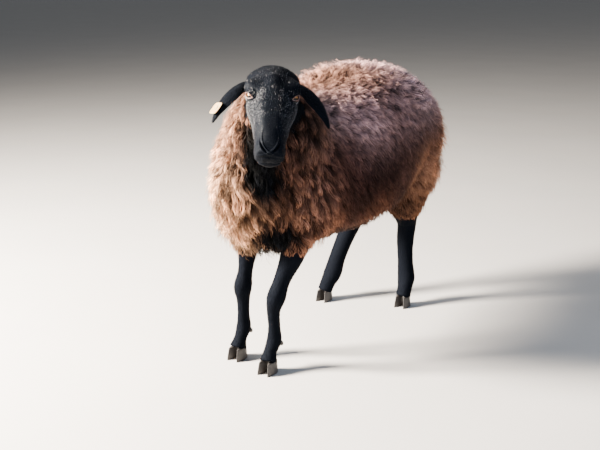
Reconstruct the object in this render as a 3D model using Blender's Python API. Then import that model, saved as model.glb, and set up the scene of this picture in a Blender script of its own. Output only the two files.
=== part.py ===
"""A fat-tailed coarsewool sheep, standing with its head turned to its left, as a life-size still model.

Metres, +Z up. The animal faces -Y and its left side is +X. It stands on the flat soles of eight claws at
Z = 0, and the origin is under the middle of its bounding box. The wool is rounded clumps set close on a
smooth core; the head, ears and lower legs carry only short hair, so they are smooth.
"""

import math
from collections import namedtuple

import bmesh
import bpy
import numpy as np
from mathutils import Matrix, Vector

GAP = 0.0003  # between nodes that meet face to face

# Each station is a cross-section: its centre, half its width, and its reach above and below the centre.
# On a leg, whose path runs down, "up" is towards the tail and "down" is towards the head.
Station = namedtuple("Station", "x y z wide up down")

# Wool: each clump leans over from its root on the core, and its tip is blunt
CLUMP_LENGTH = 0.090
CLUMP_WIDTH = 0.060
CLUMP_THICK = 0.046
CLUMP_SPACING = 0.059
CLUMP_SIDES = 5
# Rings of a clump: share of its length, height of its middle over the core, share of its full width
CLUMP_RINGS = ((0.30, -0.002, 1.00), (0.74, 0.007, 0.70))
CLUMP_ROOT_DEPTH = 0.014
CLUMP_TIP_HEIGHT = 0.015
CLUMP_CANDIDATES = 9000
CLUMP_VARIATION = 0.16
WOOL_SEED = 11
WOOL_SOLVER = "MANIFOLD"  # the exact solver leaves open edges among so many crossing clumps

# The trunk, from the brisket to the rump, at the level of the core
TRUNK = [
    Station(0.010, -0.408, 0.470, 0.060, 0.068, 0.090),
    Station(0.010, -0.362, 0.492, 0.101, 0.110, 0.156),
    Station(0.004, -0.250, 0.512, 0.143, 0.166, 0.198),
    Station(0.000, -0.050, 0.520, 0.184, 0.178, 0.212),
    Station(0.000, 0.120, 0.530, 0.190, 0.196, 0.212),
    Station(0.000, 0.270, 0.555, 0.182, 0.174, 0.180),
    Station(0.000, 0.380, 0.570, 0.160, 0.130, 0.140),
    Station(0.000, 0.442, 0.575, 0.110, 0.078, 0.092),
]

# The neck, from inside the back of the skull down into the trunk
NECK = [
    Station(0.094, -0.405, 0.738, 0.050, 0.040, 0.045),
    Station(0.086, -0.380, 0.700, 0.070, 0.060, 0.080),
    Station(0.062, -0.335, 0.645, 0.096, 0.100, 0.115),
    Station(0.026, -0.275, 0.580, 0.124, 0.135, 0.150),
    Station(0.000, -0.205, 0.515, 0.135, 0.140, 0.150),
]

# One lobe of the fat cushion that hangs on the rump; the other mirrors it
TAIL_LOBE = [
    Station(0.040, 0.385, 0.650, 0.050, 0.030, 0.030),
    Station(0.048, 0.418, 0.605, 0.075, 0.050, 0.050),
    Station(0.052, 0.433, 0.540, 0.086, 0.060, 0.060),
    Station(0.055, 0.430, 0.475, 0.076, 0.052, 0.055),
    Station(0.055, 0.420, 0.435, 0.040, 0.028, 0.030),
]

# The legs, each from inside the trunk to the top of the claws
FORE_LEFT = [
    Station(0.088, -0.240, 0.470, 0.055, 0.070, 0.060),
    Station(0.080, -0.262, 0.370, 0.040, 0.050, 0.046),
    Station(0.072, -0.275, 0.310, 0.030, 0.034, 0.032),
    Station(0.053, -0.298, 0.240, 0.0205, 0.0225, 0.0215),
    Station(0.046, -0.310, 0.200, 0.0235, 0.0215, 0.0265),
    Station(0.037, -0.308, 0.165, 0.0175, 0.0180, 0.0185),
    Station(0.034, -0.302, 0.120, 0.0150, 0.0175, 0.0160),
    Station(0.031, -0.300, 0.078, 0.0185, 0.0215, 0.0190),
    Station(0.029, -0.314, 0.054, 0.0165, 0.0170, 0.0170),
    Station(0.030, -0.323, 0.032, 0.0215, 0.0225, 0.0240),
]
FORE_RIGHT = [
    Station(-0.088, -0.240, 0.470, 0.055, 0.070, 0.060),
    Station(-0.076, -0.255, 0.370, 0.040, 0.050, 0.046),
    Station(-0.072, -0.262, 0.310, 0.027, 0.031, 0.029),
    Station(-0.077, -0.268, 0.240, 0.0185, 0.0205, 0.0200),
    Station(-0.081, -0.272, 0.200, 0.0230, 0.0215, 0.0265),
    Station(-0.084, -0.268, 0.165, 0.0175, 0.0180, 0.0185),
    Station(-0.087, -0.264, 0.120, 0.0150, 0.0175, 0.0160),
    Station(-0.090, -0.262, 0.078, 0.0185, 0.0215, 0.0190),
    Station(-0.092, -0.273, 0.054, 0.0165, 0.0170, 0.0170),
    Station(-0.093, -0.282, 0.032, 0.0215, 0.0225, 0.0240),
]
HIND_LEFT = [
    Station(0.095, 0.300, 0.520, 0.070, 0.110, 0.120),
    Station(0.110, 0.310, 0.420, 0.066, 0.095, 0.105),
    Station(0.106, 0.322, 0.350, 0.052, 0.070, 0.072),
    Station(0.098, 0.345, 0.295, 0.037, 0.044, 0.044),
    Station(0.093, 0.362, 0.258, 0.0285, 0.0360, 0.0310),
    Station(0.091, 0.360, 0.205, 0.0255, 0.0280, 0.0255),
    Station(0.096, 0.355, 0.135, 0.0235, 0.0250, 0.0235),
    Station(0.102, 0.349, 0.080, 0.0255, 0.0275, 0.0250),
    Station(0.104, 0.336, 0.054, 0.0215, 0.0225, 0.0225),
    Station(0.104, 0.328, 0.032, 0.0215, 0.0225, 0.0240),
]
HIND_RIGHT = [
    Station(-0.095, 0.290, 0.520, 0.070, 0.110, 0.120),
    Station(-0.105, 0.290, 0.420, 0.066, 0.095, 0.105),
    Station(-0.102, 0.306, 0.350, 0.052, 0.070, 0.072),
    Station(-0.088, 0.338, 0.295, 0.037, 0.044, 0.044),
    Station(-0.085, 0.354, 0.258, 0.0290, 0.0360, 0.0310),
    Station(-0.094, 0.325, 0.205, 0.0270, 0.0290, 0.0265),
    Station(-0.108, 0.294, 0.135, 0.0250, 0.0265, 0.0250),
    Station(-0.119, 0.276, 0.080, 0.0265, 0.0285, 0.0260),
    Station(-0.126, 0.262, 0.054, 0.0225, 0.0230, 0.0230),
    Station(-0.131, 0.254, 0.032, 0.0215, 0.0225, 0.0240),
]
LEGS = {
    "fore_leg_left": FORE_LEFT,
    "fore_leg_right": FORE_RIGHT,
    "hind_leg_left": HIND_LEFT,
    "hind_leg_right": HIND_RIGHT,
}
FORE_WOOL_EDGE = 0.345  # height where the wool ends on a fore leg
HIND_WOOL_EDGE = 0.330
LEG_SIDES = 10
LEG_RINGS = 18
DEWCLAW_SIZE = (0.0065, 0.0060, 0.0085)

# The head, in its own frame: muzzle towards -Y, forehead up, from the lips to the nape
HEAD = [
    Station(0.0, -0.2290, -0.012, 0.0150, 0.010, 0.012),
    Station(0.0, -0.2250, -0.012, 0.0240, 0.018, 0.022),
    Station(0.0, -0.2120, -0.011, 0.0305, 0.026, 0.031),
    Station(0.0, -0.1850, -0.008, 0.0325, 0.034, 0.037),
    Station(0.0, -0.1450, -0.004, 0.0410, 0.045, 0.045),
    Station(0.0, -0.1050, -0.004, 0.0475, 0.055, 0.058),
    Station(0.0, -0.0650, -0.008, 0.0550, 0.063, 0.067),
    Station(0.0, -0.0250, -0.012, 0.0560, 0.064, 0.066),
    Station(0.0, 0.0120, -0.012, 0.0500, 0.054, 0.056),
    Station(0.0, 0.0360, -0.014, 0.0260, 0.032, 0.034),
]
HEAD_SIDES = 24
HEAD_RINGS = 23
HEAD_PLACE = (0.114, -0.425, 0.758)  # the middle of the skull, between the ears
HEAD_TURN = 29.8  # degrees to the left
HEAD_NOD = 35.0  # degrees of the face below level
HEAD_TILT = 4.0

Bump = namedtuple("Bump", "x y z height spread")
HEAD_BUMPS = [
    Bump(0.056, -0.046, 0.037, 0.0220, 0.014),  # bony rim over the eye
    Bump(0.052, -0.004, 0.016, 0.0080, 0.016),  # base of the ear
    Bump(0.052, -0.072, 0.026, 0.0035, 0.015),  # eye socket
    Bump(0.048, -0.098, 0.002, 0.0030, 0.015),  # cheekbone
    Bump(0.052, -0.050, -0.040, 0.0045, 0.024),  # jaw muscle
    Bump(0.020, -0.212, 0.008, 0.0025, 0.009),  # wing of the nostril
    Bump(0.018, -0.214, -0.012, 0.0020, 0.010),  # upper lip
    Bump(0.000, -0.212, -0.040, 0.0050, 0.012),  # chin
    Bump(0.000, -0.130, 0.045, 0.0030, 0.030),  # arched bridge of the nose
]
HEAD_HOLLOWS = [
    Bump(0.038, -0.135, 0.016, 0.0045, 0.018),  # beside the bridge of the nose
    Bump(0.000, -0.230, -0.004, 0.0020, 0.006),  # notch under the nose
]
MOUTH_HEIGHT = -0.0240
MOUTH_CORNER = -0.170
MOUTH_DEPTH = 0.0040
MOUTH_GAPE = 0.0018
NOSTRIL_PLACE = (0.0140, -0.2160, 0.0105)
NOSTRIL_SIZE = (0.0135, 0.0030, 0.0075)
NOSTRIL_RUNS = (0.56, 0.64, 0.52)  # the way the slit runs, outwards and up, in the head's frame
LIP_CLEFT = ((-0.0007, -0.240, -0.0240), (0.0007, -0.2265, -0.0050))

EYE_PLACE = (0.0428, -0.0690, 0.0270)
EYE_RADIUS = 0.0145
EYE_SIDES = 12
LID_THICK = 0.0028
LID_OPENING = (0.0250, 0.0130)
EYE_LOOKS = (0.76, -0.52, 0.38)  # the way the eye faces, in the head's frame

# An ear, along its path in the head's frame: outwards, then drooping
EarRing = namedtuple("EarRing", "x y z wide cup thick")
EAR = [
    EarRing(0.030, -0.006, -0.006, 0.0150, 0.0100, 0.0110),
    EarRing(0.054, -0.010, -0.004, 0.0170, 0.0110, 0.0085),
    EarRing(0.076, -0.024, -0.006, 0.0225, 0.0125, 0.0045),
    EarRing(0.096, -0.046, -0.011, 0.0255, 0.0115, 0.0034),
    EarRing(0.111, -0.069, -0.017, 0.0195, 0.0085, 0.0030),
    EarRing(0.122, -0.088, -0.023, 0.0100, 0.0040, 0.0026),
    EarRing(0.129, -0.105, -0.028, 0.0022, 0.0008, 0.0020),
]
EAR_RINGS = 11
EAR_ARC_POINTS = 7
EAR_BACK = (0.45, 0.30, 0.85)  # the way the ear's outer side faces, in the head's frame

TAG_AT = 0.78  # share of the ear's length
TAG_PLATE = (0.025, 0.032, 0.0018)
TAG_BUTTON_RADIUS = 0.0085
TAG_PIN_RADIUS = 0.0022
TAG_STANDOFF = 0.0052

# One claw, in the foot's frame: the toe towards -Y
CLAW_TOP = 0.0320
CLAW_WIDTH = 0.0195
CLAW_CLEFT = 0.0050
CLAW_LENGTH = 0.0520
CLAW_HEEL = 0.0210
CLAW_SIDES = 12
TOE_SPLAY = 5.0

# Boxes that part the whole body into nodes: (lowest corner, highest corner)
LEG_BOXES = {
    "fore_leg_left": ((0.004, -0.420, -0.010), (0.260, -0.150, 0.372)),
    "fore_leg_right": ((-0.260, -0.420, -0.010), (0.0034, -0.150, 0.372)),
    "hind_leg_left": ((0.004, 0.175, -0.010), (0.260, 0.520, 0.405)),
    "hind_leg_right": ((-0.260, 0.175, -0.010), (0.0034, 0.520, 0.405)),
}
# The wool ends a little above these heights, where each limb is parted into an upper and a lower node
FORE_PART_HEIGHT = 0.306
HIND_PART_HEIGHT = 0.300
TAIL_PLANE_POINT = (0.0, 0.420, 0.560)
TAIL_PLANE_NORMAL = (0.0, 1.0, 0.10)
NECK_PLANE_POINT = (0.022, -0.310, 0.640)
NECK_PLANE_NORMAL = (0.28, -0.66, 0.60)
CUTTER_REACH = 0.6

WOOL = ("wool", (0.175, 0.085, 0.055), 0.90)
SHORT_HAIR = ("short_hair", (0.016, 0.014, 0.017), 0.55)
HORN = ("horn", (0.040, 0.034, 0.030), 0.45)
EYE = ("eye", (0.120, 0.060, 0.020), 0.10)
TAG = ("tag", (0.780, 0.640, 0.330), 0.40)


def unit(vectors):
    """The vectors, each divided by its length."""
    vectors = np.asarray(vectors, float)
    return vectors / np.linalg.norm(vectors, axis=-1, keepdims=True)


def through(knots, values, at):
    """A smooth curve through the values: a cubic between knots, each slope the mean of its neighbours'."""
    slopes = np.gradient(values, knots, axis=0)
    low = np.clip(np.searchsorted(knots, at, side="right") - 1, 0, len(knots) - 2)
    span = (knots[low + 1] - knots[low])[:, None]
    t = (at - knots[low])[:, None] / span
    start, end = values[low], values[low + 1]
    leave, arrive = slopes[low] * span, slopes[low + 1] * span
    return (
        (2 * t**3 - 3 * t**2 + 1) * start
        + (t**3 - 2 * t**2 + t) * leave
        + (3 * t**2 - 2 * t**3) * end
        + (t**3 - t**2) * arrive
    )


def resampled(stations, rings):
    """The stations' values at even steps along the smooth path through their centres."""
    rows = np.array(stations, float)
    steps = np.linalg.norm(np.diff(rows[:, :3], axis=0), axis=1)
    knots = np.concatenate([[0.0], np.cumsum(steps)])
    return through(knots, rows, np.linspace(0.0, knots[-1], rings))


def frames(centres, side):
    """For each point of a path: the way across it and the way over it, square to the path."""
    along = unit(np.gradient(centres, axis=0))
    over = unit(np.cross(np.array(side, float), along))
    return np.cross(along, over), over


def signed_power(values, power):
    return np.sign(values) * np.abs(values) ** power


def loft_grid(stations, sides, rings, fullness_up=2.0, fullness_down=2.0, swell=0.0):
    """Rings of points round a path: superellipses with their own width, upper and lower reach."""
    rows = resampled(stations, rings)
    centres = rows[:, :3]
    wide, up, down = (rows[:, k] + swell for k in (3, 4, 5))
    across, over = frames(centres, (1.0, 0.0, 0.0))
    turn = np.linspace(0.0, 2 * np.pi, sides, endpoint=False)
    fullness = np.where(np.sin(turn) > 0, fullness_up, fullness_down)
    sideways = signed_power(np.cos(turn), 2 / fullness)
    upwards = signed_power(np.sin(turn), 2 / fullness)
    reach = np.where(upwards > 0, up[:, None], down[:, None]) * upwards
    return (
        centres[:, None]
        + across[:, None] * (wide[:, None] * sideways)[..., None]
        + over[:, None] * reach[..., None]
    )


def new_object(name, mesh, finish=SHORT_HAIR):
    """A scene object for the mesh, with the finish's material."""
    obj = bpy.data.objects.new(name, mesh)
    bpy.context.scene.collection.objects.link(obj)
    mesh.materials.clear()
    mesh.materials.append(material(*finish))
    return obj


def material(name, colour, roughness):
    """The named Principled material, made once."""
    found = bpy.data.materials.get(name)
    if found:
        return found
    made = bpy.data.materials.new(name)
    made.use_nodes = True
    shader = made.node_tree.nodes["Principled BSDF"]
    shader.inputs["Base Color"].default_value = (*colour, 1.0)
    shader.inputs["Roughness"].default_value = roughness
    shader.inputs["Metallic"].default_value = 0.0
    return made


def closed_mesh(name, points, faces):
    """A mesh whose faces all point out."""
    mesh = bpy.data.meshes.new(name)
    mesh.from_pydata([tuple(p) for p in points], [], faces)
    work = bmesh.new()
    work.from_mesh(mesh)
    bmesh.ops.recalc_face_normals(work, faces=work.faces)
    work.to_mesh(mesh)
    work.free()
    return mesh


def tube_faces(rings, sides):
    """Quads between neighbouring rings, and a cap on the first and the last."""
    faces = []
    for ring in range(rings - 1):
        for side in range(sides):
            after = (side + 1) % sides
            faces.append(
                (
                    ring * sides + side,
                    ring * sides + after,
                    (ring + 1) * sides + after,
                    (ring + 1) * sides + side,
                )
            )
    faces.append(tuple(range(sides)))
    faces.append(tuple((rings - 1) * sides + side for side in range(sides)))
    return faces


def tube(name, grid, finish=SHORT_HAIR):
    """A closed object from a grid of rings."""
    rings, sides = grid.shape[:2]
    return new_object(
        name, closed_mesh(name, grid.reshape(-1, 3), tube_faces(rings, sides)), finish
    )


def moved(grid, matrix):
    """The grid's points, carried by a 4 by 4 matrix."""
    turn = np.array(matrix.to_3x3())
    return grid @ turn.T + np.array(matrix.translation)


def ellipsoid(name, centre, radii, segments=12, rings=8, turn=None, finish=SHORT_HAIR):
    """A closed ellipsoid, turned about its own centre."""
    work = bmesh.new()
    bmesh.ops.create_uvsphere(work, u_segments=segments, v_segments=rings, radius=1.0)
    place = Matrix.Translation(Vector(centre))
    if turn:
        place = place @ turn
    place = place @ Matrix.Diagonal((*radii, 1.0))
    bmesh.ops.transform(work, matrix=place, verts=work.verts)
    mesh = bpy.data.meshes.new(name)
    work.to_mesh(mesh)
    work.free()
    return new_object(name, mesh, finish)


def box(name, low, high, matrix=None):
    """A closed box between two corners, carried by a matrix."""
    low, high = np.array(low, float), np.array(high, float)
    work = bmesh.new()
    bmesh.ops.create_cube(work, size=1.0)
    place = Matrix.Translation(Vector((low + high) / 2))
    place = place @ Matrix.Diagonal((*(high - low), 1.0))
    if matrix:
        place = matrix @ place
    bmesh.ops.transform(work, matrix=place, verts=work.verts)
    mesh = bpy.data.meshes.new(name)
    work.to_mesh(mesh)
    work.free()
    return new_object(name, mesh)


def bake(obj):
    """Applies an object's modifiers."""
    graph = bpy.context.evaluated_depsgraph_get()
    mesh = bpy.data.meshes.new_from_object(obj.evaluated_get(graph))
    obj.modifiers.clear()
    obj.data = mesh
    return obj


def remove(*objects):
    for obj in objects:
        bpy.data.objects.remove(obj)


def boolean(obj, other, operation, solver="EXACT"):
    """Cuts or joins obj by another object, applies it, and removes the other."""
    step = obj.modifiers.new(operation.lower(), "BOOLEAN")
    step.operation = operation
    step.object = other
    step.solver = solver
    bake(obj)
    remove(other)
    return obj


def joined(name, pieces, finish, solver="EXACT"):
    """One closed object from pieces that overlap: a single Boolean union on their collection."""
    base, others = pieces[0], pieces[1:]
    group = bpy.data.collections.new(name + "_pieces")
    for piece in others:
        group.objects.link(piece)
    step = base.modifiers.new("union", "BOOLEAN")
    step.operation = "UNION"
    step.operand_type = "COLLECTION"
    step.collection = group
    step.solver = solver
    bake(base)
    remove(*others)
    bpy.data.collections.remove(group)
    base.name = name
    base.data.materials.clear()
    base.data.materials.append(material(*finish))
    return base


def copied(obj, name):
    """A separate copy of an object and its mesh."""
    twin = obj.copy()
    twin.data = obj.data.copy()
    twin.name = name
    bpy.context.scene.collection.objects.link(twin)
    return twin


def keep_largest(obj):
    """Keeps only the closed surface that holds the most volume."""
    work = bmesh.new()
    work.from_mesh(obj.data)
    left = set(work.faces)
    shells = []
    while left:
        shell, edge = set(), [left.pop()]
        while edge:
            face = edge.pop()
            shell.add(face)
            for side in face.edges:
                for other in side.link_faces:
                    if other in left:
                        left.remove(other)
                        edge.append(other)
        shells.append(shell)

    def volume(shell):
        total = 0.0
        for face in shell:
            first = face.verts[0].co
            for a, b in zip(face.verts[1:], face.verts[2:]):
                total += first.dot(a.co.cross(b.co)) / 6
        return abs(total)

    shells.sort(key=volume, reverse=True)
    scraps = [face for shell in shells[1:] for face in shell]
    bmesh.ops.delete(work, geom=scraps, context="FACES")
    loose = [vert for vert in work.verts if not vert.link_faces]
    bmesh.ops.delete(work, geom=loose, context="VERTS")
    work.to_mesh(obj.data)
    work.free()
    return obj


def rounded(obj, sharp=75.0):
    """Smooth shading, with edges over the angle kept sharp."""
    obj.data.shade_smooth()
    obj.data.set_sharp_from_angle(angle=math.radians(sharp))
    return obj


def half_space(name, point, normal, inset):
    """A big box that fills the side of a plane that its normal points to, starting inset past it."""
    normal = Vector(normal).normalized()
    turn = normal.to_track_quat("Z", "Y").to_matrix().to_4x4()
    place = Matrix.Translation(Vector(point)) @ turn
    reach = CUTTER_REACH
    return box(name, (-reach, -reach, inset), (reach, reach, 2 * reach), place)


def head_matrix():
    """The head's frame in the world: turned, nodded and tilted about the skull."""
    return (
        Matrix.Translation(Vector(HEAD_PLACE))
        @ Matrix.Rotation(math.radians(HEAD_TURN), 4, "Z")
        @ Matrix.Rotation(math.radians(HEAD_NOD), 4, "X")
        @ Matrix.Rotation(math.radians(HEAD_TILT), 4, "Y")
    )


def raised(grid, bumps, sign):
    """Moves points away from the ring's middle by a bell-shaped amount round each bump and its mirror."""
    middle = grid.mean(axis=1, keepdims=True)
    outward = unit(grid - middle)
    amount = np.zeros(grid.shape[:2])
    for bump in bumps:
        for side in {bump.x, -bump.x}:
            off = grid - np.array([side, bump.y, bump.z])
            amount += bump.height * np.exp(-(off**2).sum(axis=-1) / (2 * bump.spread**2))
    return grid + sign * outward * amount[..., None]


def head_grid(swell=0.0, sides=HEAD_SIDES, rings=HEAD_RINGS):
    """The head's surface in its own frame: a loft from the lips to the nape, with its bumps and hollows."""
    grid = loft_grid(HEAD, sides, rings, 2.3, 1.9, swell)
    grid = raised(grid, HEAD_BUMPS, 1.0)
    return raised(grid, HEAD_HOLLOWS, -1.0)


def eye_axes(side):
    """Where an eye's centre is and the turn that points it outwards, in the head's frame."""
    centre = Vector((side * EYE_PLACE[0], EYE_PLACE[1], EYE_PLACE[2]))
    looks = Vector((side * EYE_LOOKS[0], EYE_LOOKS[1], EYE_LOOKS[2]))
    return centre, looks.to_track_quat("Z", "Y").to_matrix().to_4x4()


def eye_ball(name, side, radius, place):
    centre, turn = eye_axes(side)
    return ellipsoid(
        name,
        (0, 0, 0),
        (radius,) * 3,
        EYE_SIDES,
        EYE_SIDES // 2,
        place @ Matrix.Translation(centre) @ turn,
        EYE,
    )


def lid_opening(name, side, place):
    """The almond-shaped prism that opens the lids, pointing out from the eye."""
    centre, turn = eye_axes(side)
    half_long, half_high = LID_OPENING[0] / 2, LID_OPENING[1] / 2
    along = np.linspace(-1.0, 1.0, 7)
    arch = half_high * (1 - along**2) ** 0.8
    outline = [(half_long * a, h) for a, h in zip(along, arch)]
    outline += [(half_long * a, -h) for a, h in zip(along[-2:0:-1], arch[-2:0:-1])]
    tilt = Matrix.Rotation(math.radians(-side * 14.0), 4, "Z")
    points = []
    for depth in (EYE_RADIUS * 0.35, EYE_RADIUS * 2.2):
        points += [
            place @ Matrix.Translation(centre) @ turn @ tilt @ Vector((x, y, depth))
            for x, y in outline
        ]
    faces = tube_faces(2, len(outline))
    return new_object(name, closed_mesh(name, points, faces))


def mouth_blade(place):
    """A thin plate in the plane of the mouth, hollowed so that it only scores the lips."""
    plate = box(
        "mouth_plate",
        (-0.08, -0.27, MOUTH_HEIGHT - MOUTH_GAPE / 2),
        (0.08, MOUTH_CORNER, MOUTH_HEIGHT + MOUTH_GAPE / 2),
        place,
    )
    inside = tube("mouth_inside", moved(head_grid(-MOUTH_DEPTH), place))
    return boolean(plate, inside, "DIFFERENCE")


def nostril_cutter(name, side, place):
    """A slit that slants up and out from the tip of the nose."""
    runs = Vector((side * NOSTRIL_RUNS[0], NOSTRIL_RUNS[1], NOSTRIL_RUNS[2])).normalized()
    across = Vector((0.0, -0.6, 0.8)).cross(runs).normalized()
    turn = Matrix((runs, across, runs.cross(across))).transposed().to_4x4()
    spot = Vector((side * NOSTRIL_PLACE[0], NOSTRIL_PLACE[1], NOSTRIL_PLACE[2]))
    return ellipsoid(
        name, (0, 0, 0), NOSTRIL_SIZE, 10, 6, place @ Matrix.Translation(spot) @ turn
    )


def make_head():
    """The head with its lids, nostrils and the line of the mouth, and the two eyes."""
    place = head_matrix()
    head = tube("head_skin", moved(head_grid(), place))
    lids = [
        eye_ball("lid", side, EYE_RADIUS + LID_THICK, place) for side in (1, -1)
    ]
    head = joined("head", [head, *lids], SHORT_HAIR)
    for side, word in ((1, "left"), (-1, "right")):
        boolean(head, eye_ball("socket", side, EYE_RADIUS + GAP, place), "DIFFERENCE")
        boolean(head, lid_opening("opening", side, place), "DIFFERENCE")
        boolean(head, nostril_cutter("nostril", side, place), "DIFFERENCE")
        rounded(eye_ball("eye_" + word, side, EYE_RADIUS, place))
    boolean(head, mouth_blade(place), "DIFFERENCE")
    boolean(head, box("lip_cleft", *LIP_CLEFT, place), "DIFFERENCE")
    return rounded(keep_largest(head))


def ear_rows(count):
    """The ear's rings at even steps along its path."""
    rows = np.array(EAR, float)
    steps = np.linalg.norm(np.diff(rows[:, :3], axis=0), axis=1)
    knots = np.concatenate([[0.0], np.cumsum(steps)])
    return through(knots, rows, np.linspace(0.0, knots[-1], count))


def ear_frames(centres):
    """Across each ring and out through the ear's back, both square to the path."""
    along = unit(np.gradient(centres, axis=0))
    back = np.array(EAR_BACK, float)
    back = unit(back - (along @ back)[:, None] * along)
    return np.cross(along, back), back


def ear_grid(side, swell=0.0):
    """A cupped leaf: each ring is a crescent, an outer arc and an inner arc one thickness inside it."""
    rows = ear_rows(EAR_RINGS)
    centres = rows[:, :3]
    wide, cup, thick = rows[:, 3] + swell, rows[:, 4], rows[:, 5] + 2 * swell
    across, back = ear_frames(centres)
    share = np.linspace(-1.0, 1.0, EAR_ARC_POINTS)
    outer_wide, outer_high = share, 1 - share**2
    inner_share = share[::-1] * 0.90
    wide_at = np.concatenate([outer_wide, inner_share])
    arch_at = np.concatenate([outer_high, 1 - inner_share**2])
    inset = np.concatenate([np.full(EAR_ARC_POINTS, 0.5), np.full(EAR_ARC_POINTS, -0.5)])
    height = (cup[:, None] * arch_at) + thick[:, None] * inset
    grid = (
        centres[:, None]
        + across[:, None] * (wide[:, None] * wide_at)[..., None]
        + back[:, None] * height[..., None]
    )
    grid[..., 0] *= side
    return grid


def make_ear(name, side):
    """An ear whose root meets the head's surface across the gap."""
    place = head_matrix()
    ear = tube(name, moved(ear_grid(side), place))
    skull = tube("skull_cutter", moved(head_grid(2 * GAP), place))
    boolean(ear, skull, "DIFFERENCE")
    return keep_largest(ear)


def tag_matrix():
    """The frame of the tag on the right ear: its plate lies across the ear, facing out through its back."""
    rows = ear_rows(EAR_RINGS)
    across, back = ear_frames(rows[:, :3])
    at = round(TAG_AT * (EAR_RINGS - 1))
    centre = rows[at, :3] + back[at] * rows[at, 4]
    along = np.cross(back[at], across[at])
    local = Matrix(
        [[*across[at], 0], [*along, 0], [*back[at], 0], [0, 0, 0, 1]]
    ).transposed()
    local.translation = Vector(centre)
    mirror = Matrix.Diagonal((-1.0, 1.0, 1.0, 1.0))
    return head_matrix() @ mirror @ local


def cylinder(name, radius, low, high, matrix, sides=12, finish=TAG):
    """A closed round bar along the matrix's Z axis."""
    turn = np.linspace(0.0, 2 * np.pi, sides, endpoint=False)
    ring = np.stack([radius * np.cos(turn), radius * np.sin(turn), 0 * turn], axis=1)
    grid = np.stack([ring + (0, 0, low), ring + (0, 0, high)])
    return tube(name, moved(grid, matrix), finish)


def tag_plate(matrix):
    """A plate with rounded corners, pinned near its middle."""
    half_wide, half_long = TAG_PLATE[0] / 2, TAG_PLATE[1] / 2
    turn = np.linspace(0.0, 2 * np.pi, 24, endpoint=False)
    outline = np.stack(
        [
            half_wide * signed_power(np.cos(turn), 0.45),
            half_long * signed_power(np.sin(turn), 0.45),
            0 * turn,
        ],
        axis=1,
    )
    low = TAG_STANDOFF
    grid = np.stack([outline + (0, 0, low), outline + (0, 0, low + TAG_PLATE[2])])
    return tube("tag_plate", moved(grid, matrix), TAG)


def make_tag(ear):
    """The ear's blank tag: a plate on the back, a button in the cup, and the pin through the ear."""
    place = tag_matrix()
    low, high = -TAG_STANDOFF, TAG_STANDOFF
    hole = cylinder("tag_hole", TAG_PIN_RADIUS + GAP, 3 * low, 3 * high, place)
    boolean(ear, hole, "DIFFERENCE")
    pin = cylinder("tag_pin", TAG_PIN_RADIUS, low - 0.001, high + 0.001, place)
    button = cylinder("tag_button", TAG_BUTTON_RADIUS, low - 0.0022, low, place)
    return joined("ear_tag", [tag_plate(place), pin, button], TAG)


def leg_bottom_cut(leg):
    """Trims a leg to a flat just above the tops of its claws."""
    low = np.array((-0.5, -0.7, -0.1))
    high = np.array((0.5, 0.7, CLAW_TOP + GAP))
    return boolean(leg, box("floor_cut", low, high), "DIFFERENCE", WOOL_SOLVER)


def leg_shape(name, stations):
    """A whole leg, with its two dewclaws behind the fetlock."""
    lowest = stations[-1]
    path = [*stations, lowest._replace(z=lowest.z - 0.006)]
    leg = tube(name + "_shape", loft_grid(path, LEG_SIDES, LEG_RINGS, 2.1, 2.1))
    fetlock = stations[-3]
    dewclaws = [
        ellipsoid(
            "dewclaw",
            (fetlock.x + side * 0.0105, fetlock.y + fetlock.up * 0.86, fetlock.z - 0.008),
            DEWCLAW_SIZE,
            8,
            6,
        )
        for side in (1, -1)
    ]
    return joined(name + "_shape", [leg, *dewclaws], SHORT_HAIR)


def claw_outline(grow):
    """One claw's outline from above: flat inside, curved outside, narrowing to the toe; grow is 0 to 1."""
    turn = np.linspace(0.0, 2 * np.pi, CLAW_SIDES, endpoint=False)
    toe = CLAW_LENGTH * (0.50 + 0.12 * grow)
    heel = CLAW_HEEL * (0.90 + 0.10 * grow)
    y = np.where(np.sin(turn) < 0, toe, heel) * np.sin(turn)
    half = CLAW_WIDTH / 2 * (0.88 + 0.12 * grow)
    narrowing = 1 - 0.55 * np.clip(-y / toe, 0, 1) ** 2
    bow = np.where(np.cos(turn) > 0, np.cos(turn), 0.75 * np.cos(turn))
    return half * (1 + bow * narrowing), y


def make_claw(name, stations, side):
    """A claw from the leg's flat end down to its flat sole."""
    foot = stations[-1]
    levels = ((CLAW_TOP, 0.0), (CLAW_TOP * 0.55, 0.55), (0.0035, 1.0), (0.0, 0.94))
    turn = math.radians(side * TOE_SPLAY)
    rings = []
    for height, grow in levels:
        x, y = claw_outline(grow)
        x = side * (x + CLAW_CLEFT / 2)
        rings.append(
            np.stack(
                [
                    foot.x + x * math.cos(turn) - y * math.sin(turn),
                    foot.y + x * math.sin(turn) + y * math.cos(turn),
                    np.full_like(x, height),
                ],
                axis=1,
            )
        )
    return rounded(tube(name, np.array(rings), HORN), 40.0)


def wool_lie(points, normals):
    """The way the coat lies: down, a little to the tail and away from the spine, along the surface."""
    outwards = 0.35 * np.tanh(points[:, 0] / 0.05)
    lie = np.stack([outwards, np.full(len(points), 0.45), np.full(len(points), -1.0)], axis=1)
    lie -= (lie * normals).sum(axis=1, keepdims=True) * normals
    return unit(lie)


def is_woolly(points):
    """True where wool grows: the trunk, neck and tail, and the legs down to the wool's edge."""
    x, y, z = points.T
    edge = np.where(y < 0, FORE_WOOL_EDGE, HIND_WOOL_EDGE)
    local = (points - np.array(HEAD_PLACE)) @ np.array(head_matrix().to_3x3())
    round_skull = (np.abs(local[:, 0]) < 0.14) & (local[:, 2] > -0.075) & (local[:, 1] < 0.10)
    return (z > edge) & ~round_skull


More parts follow.
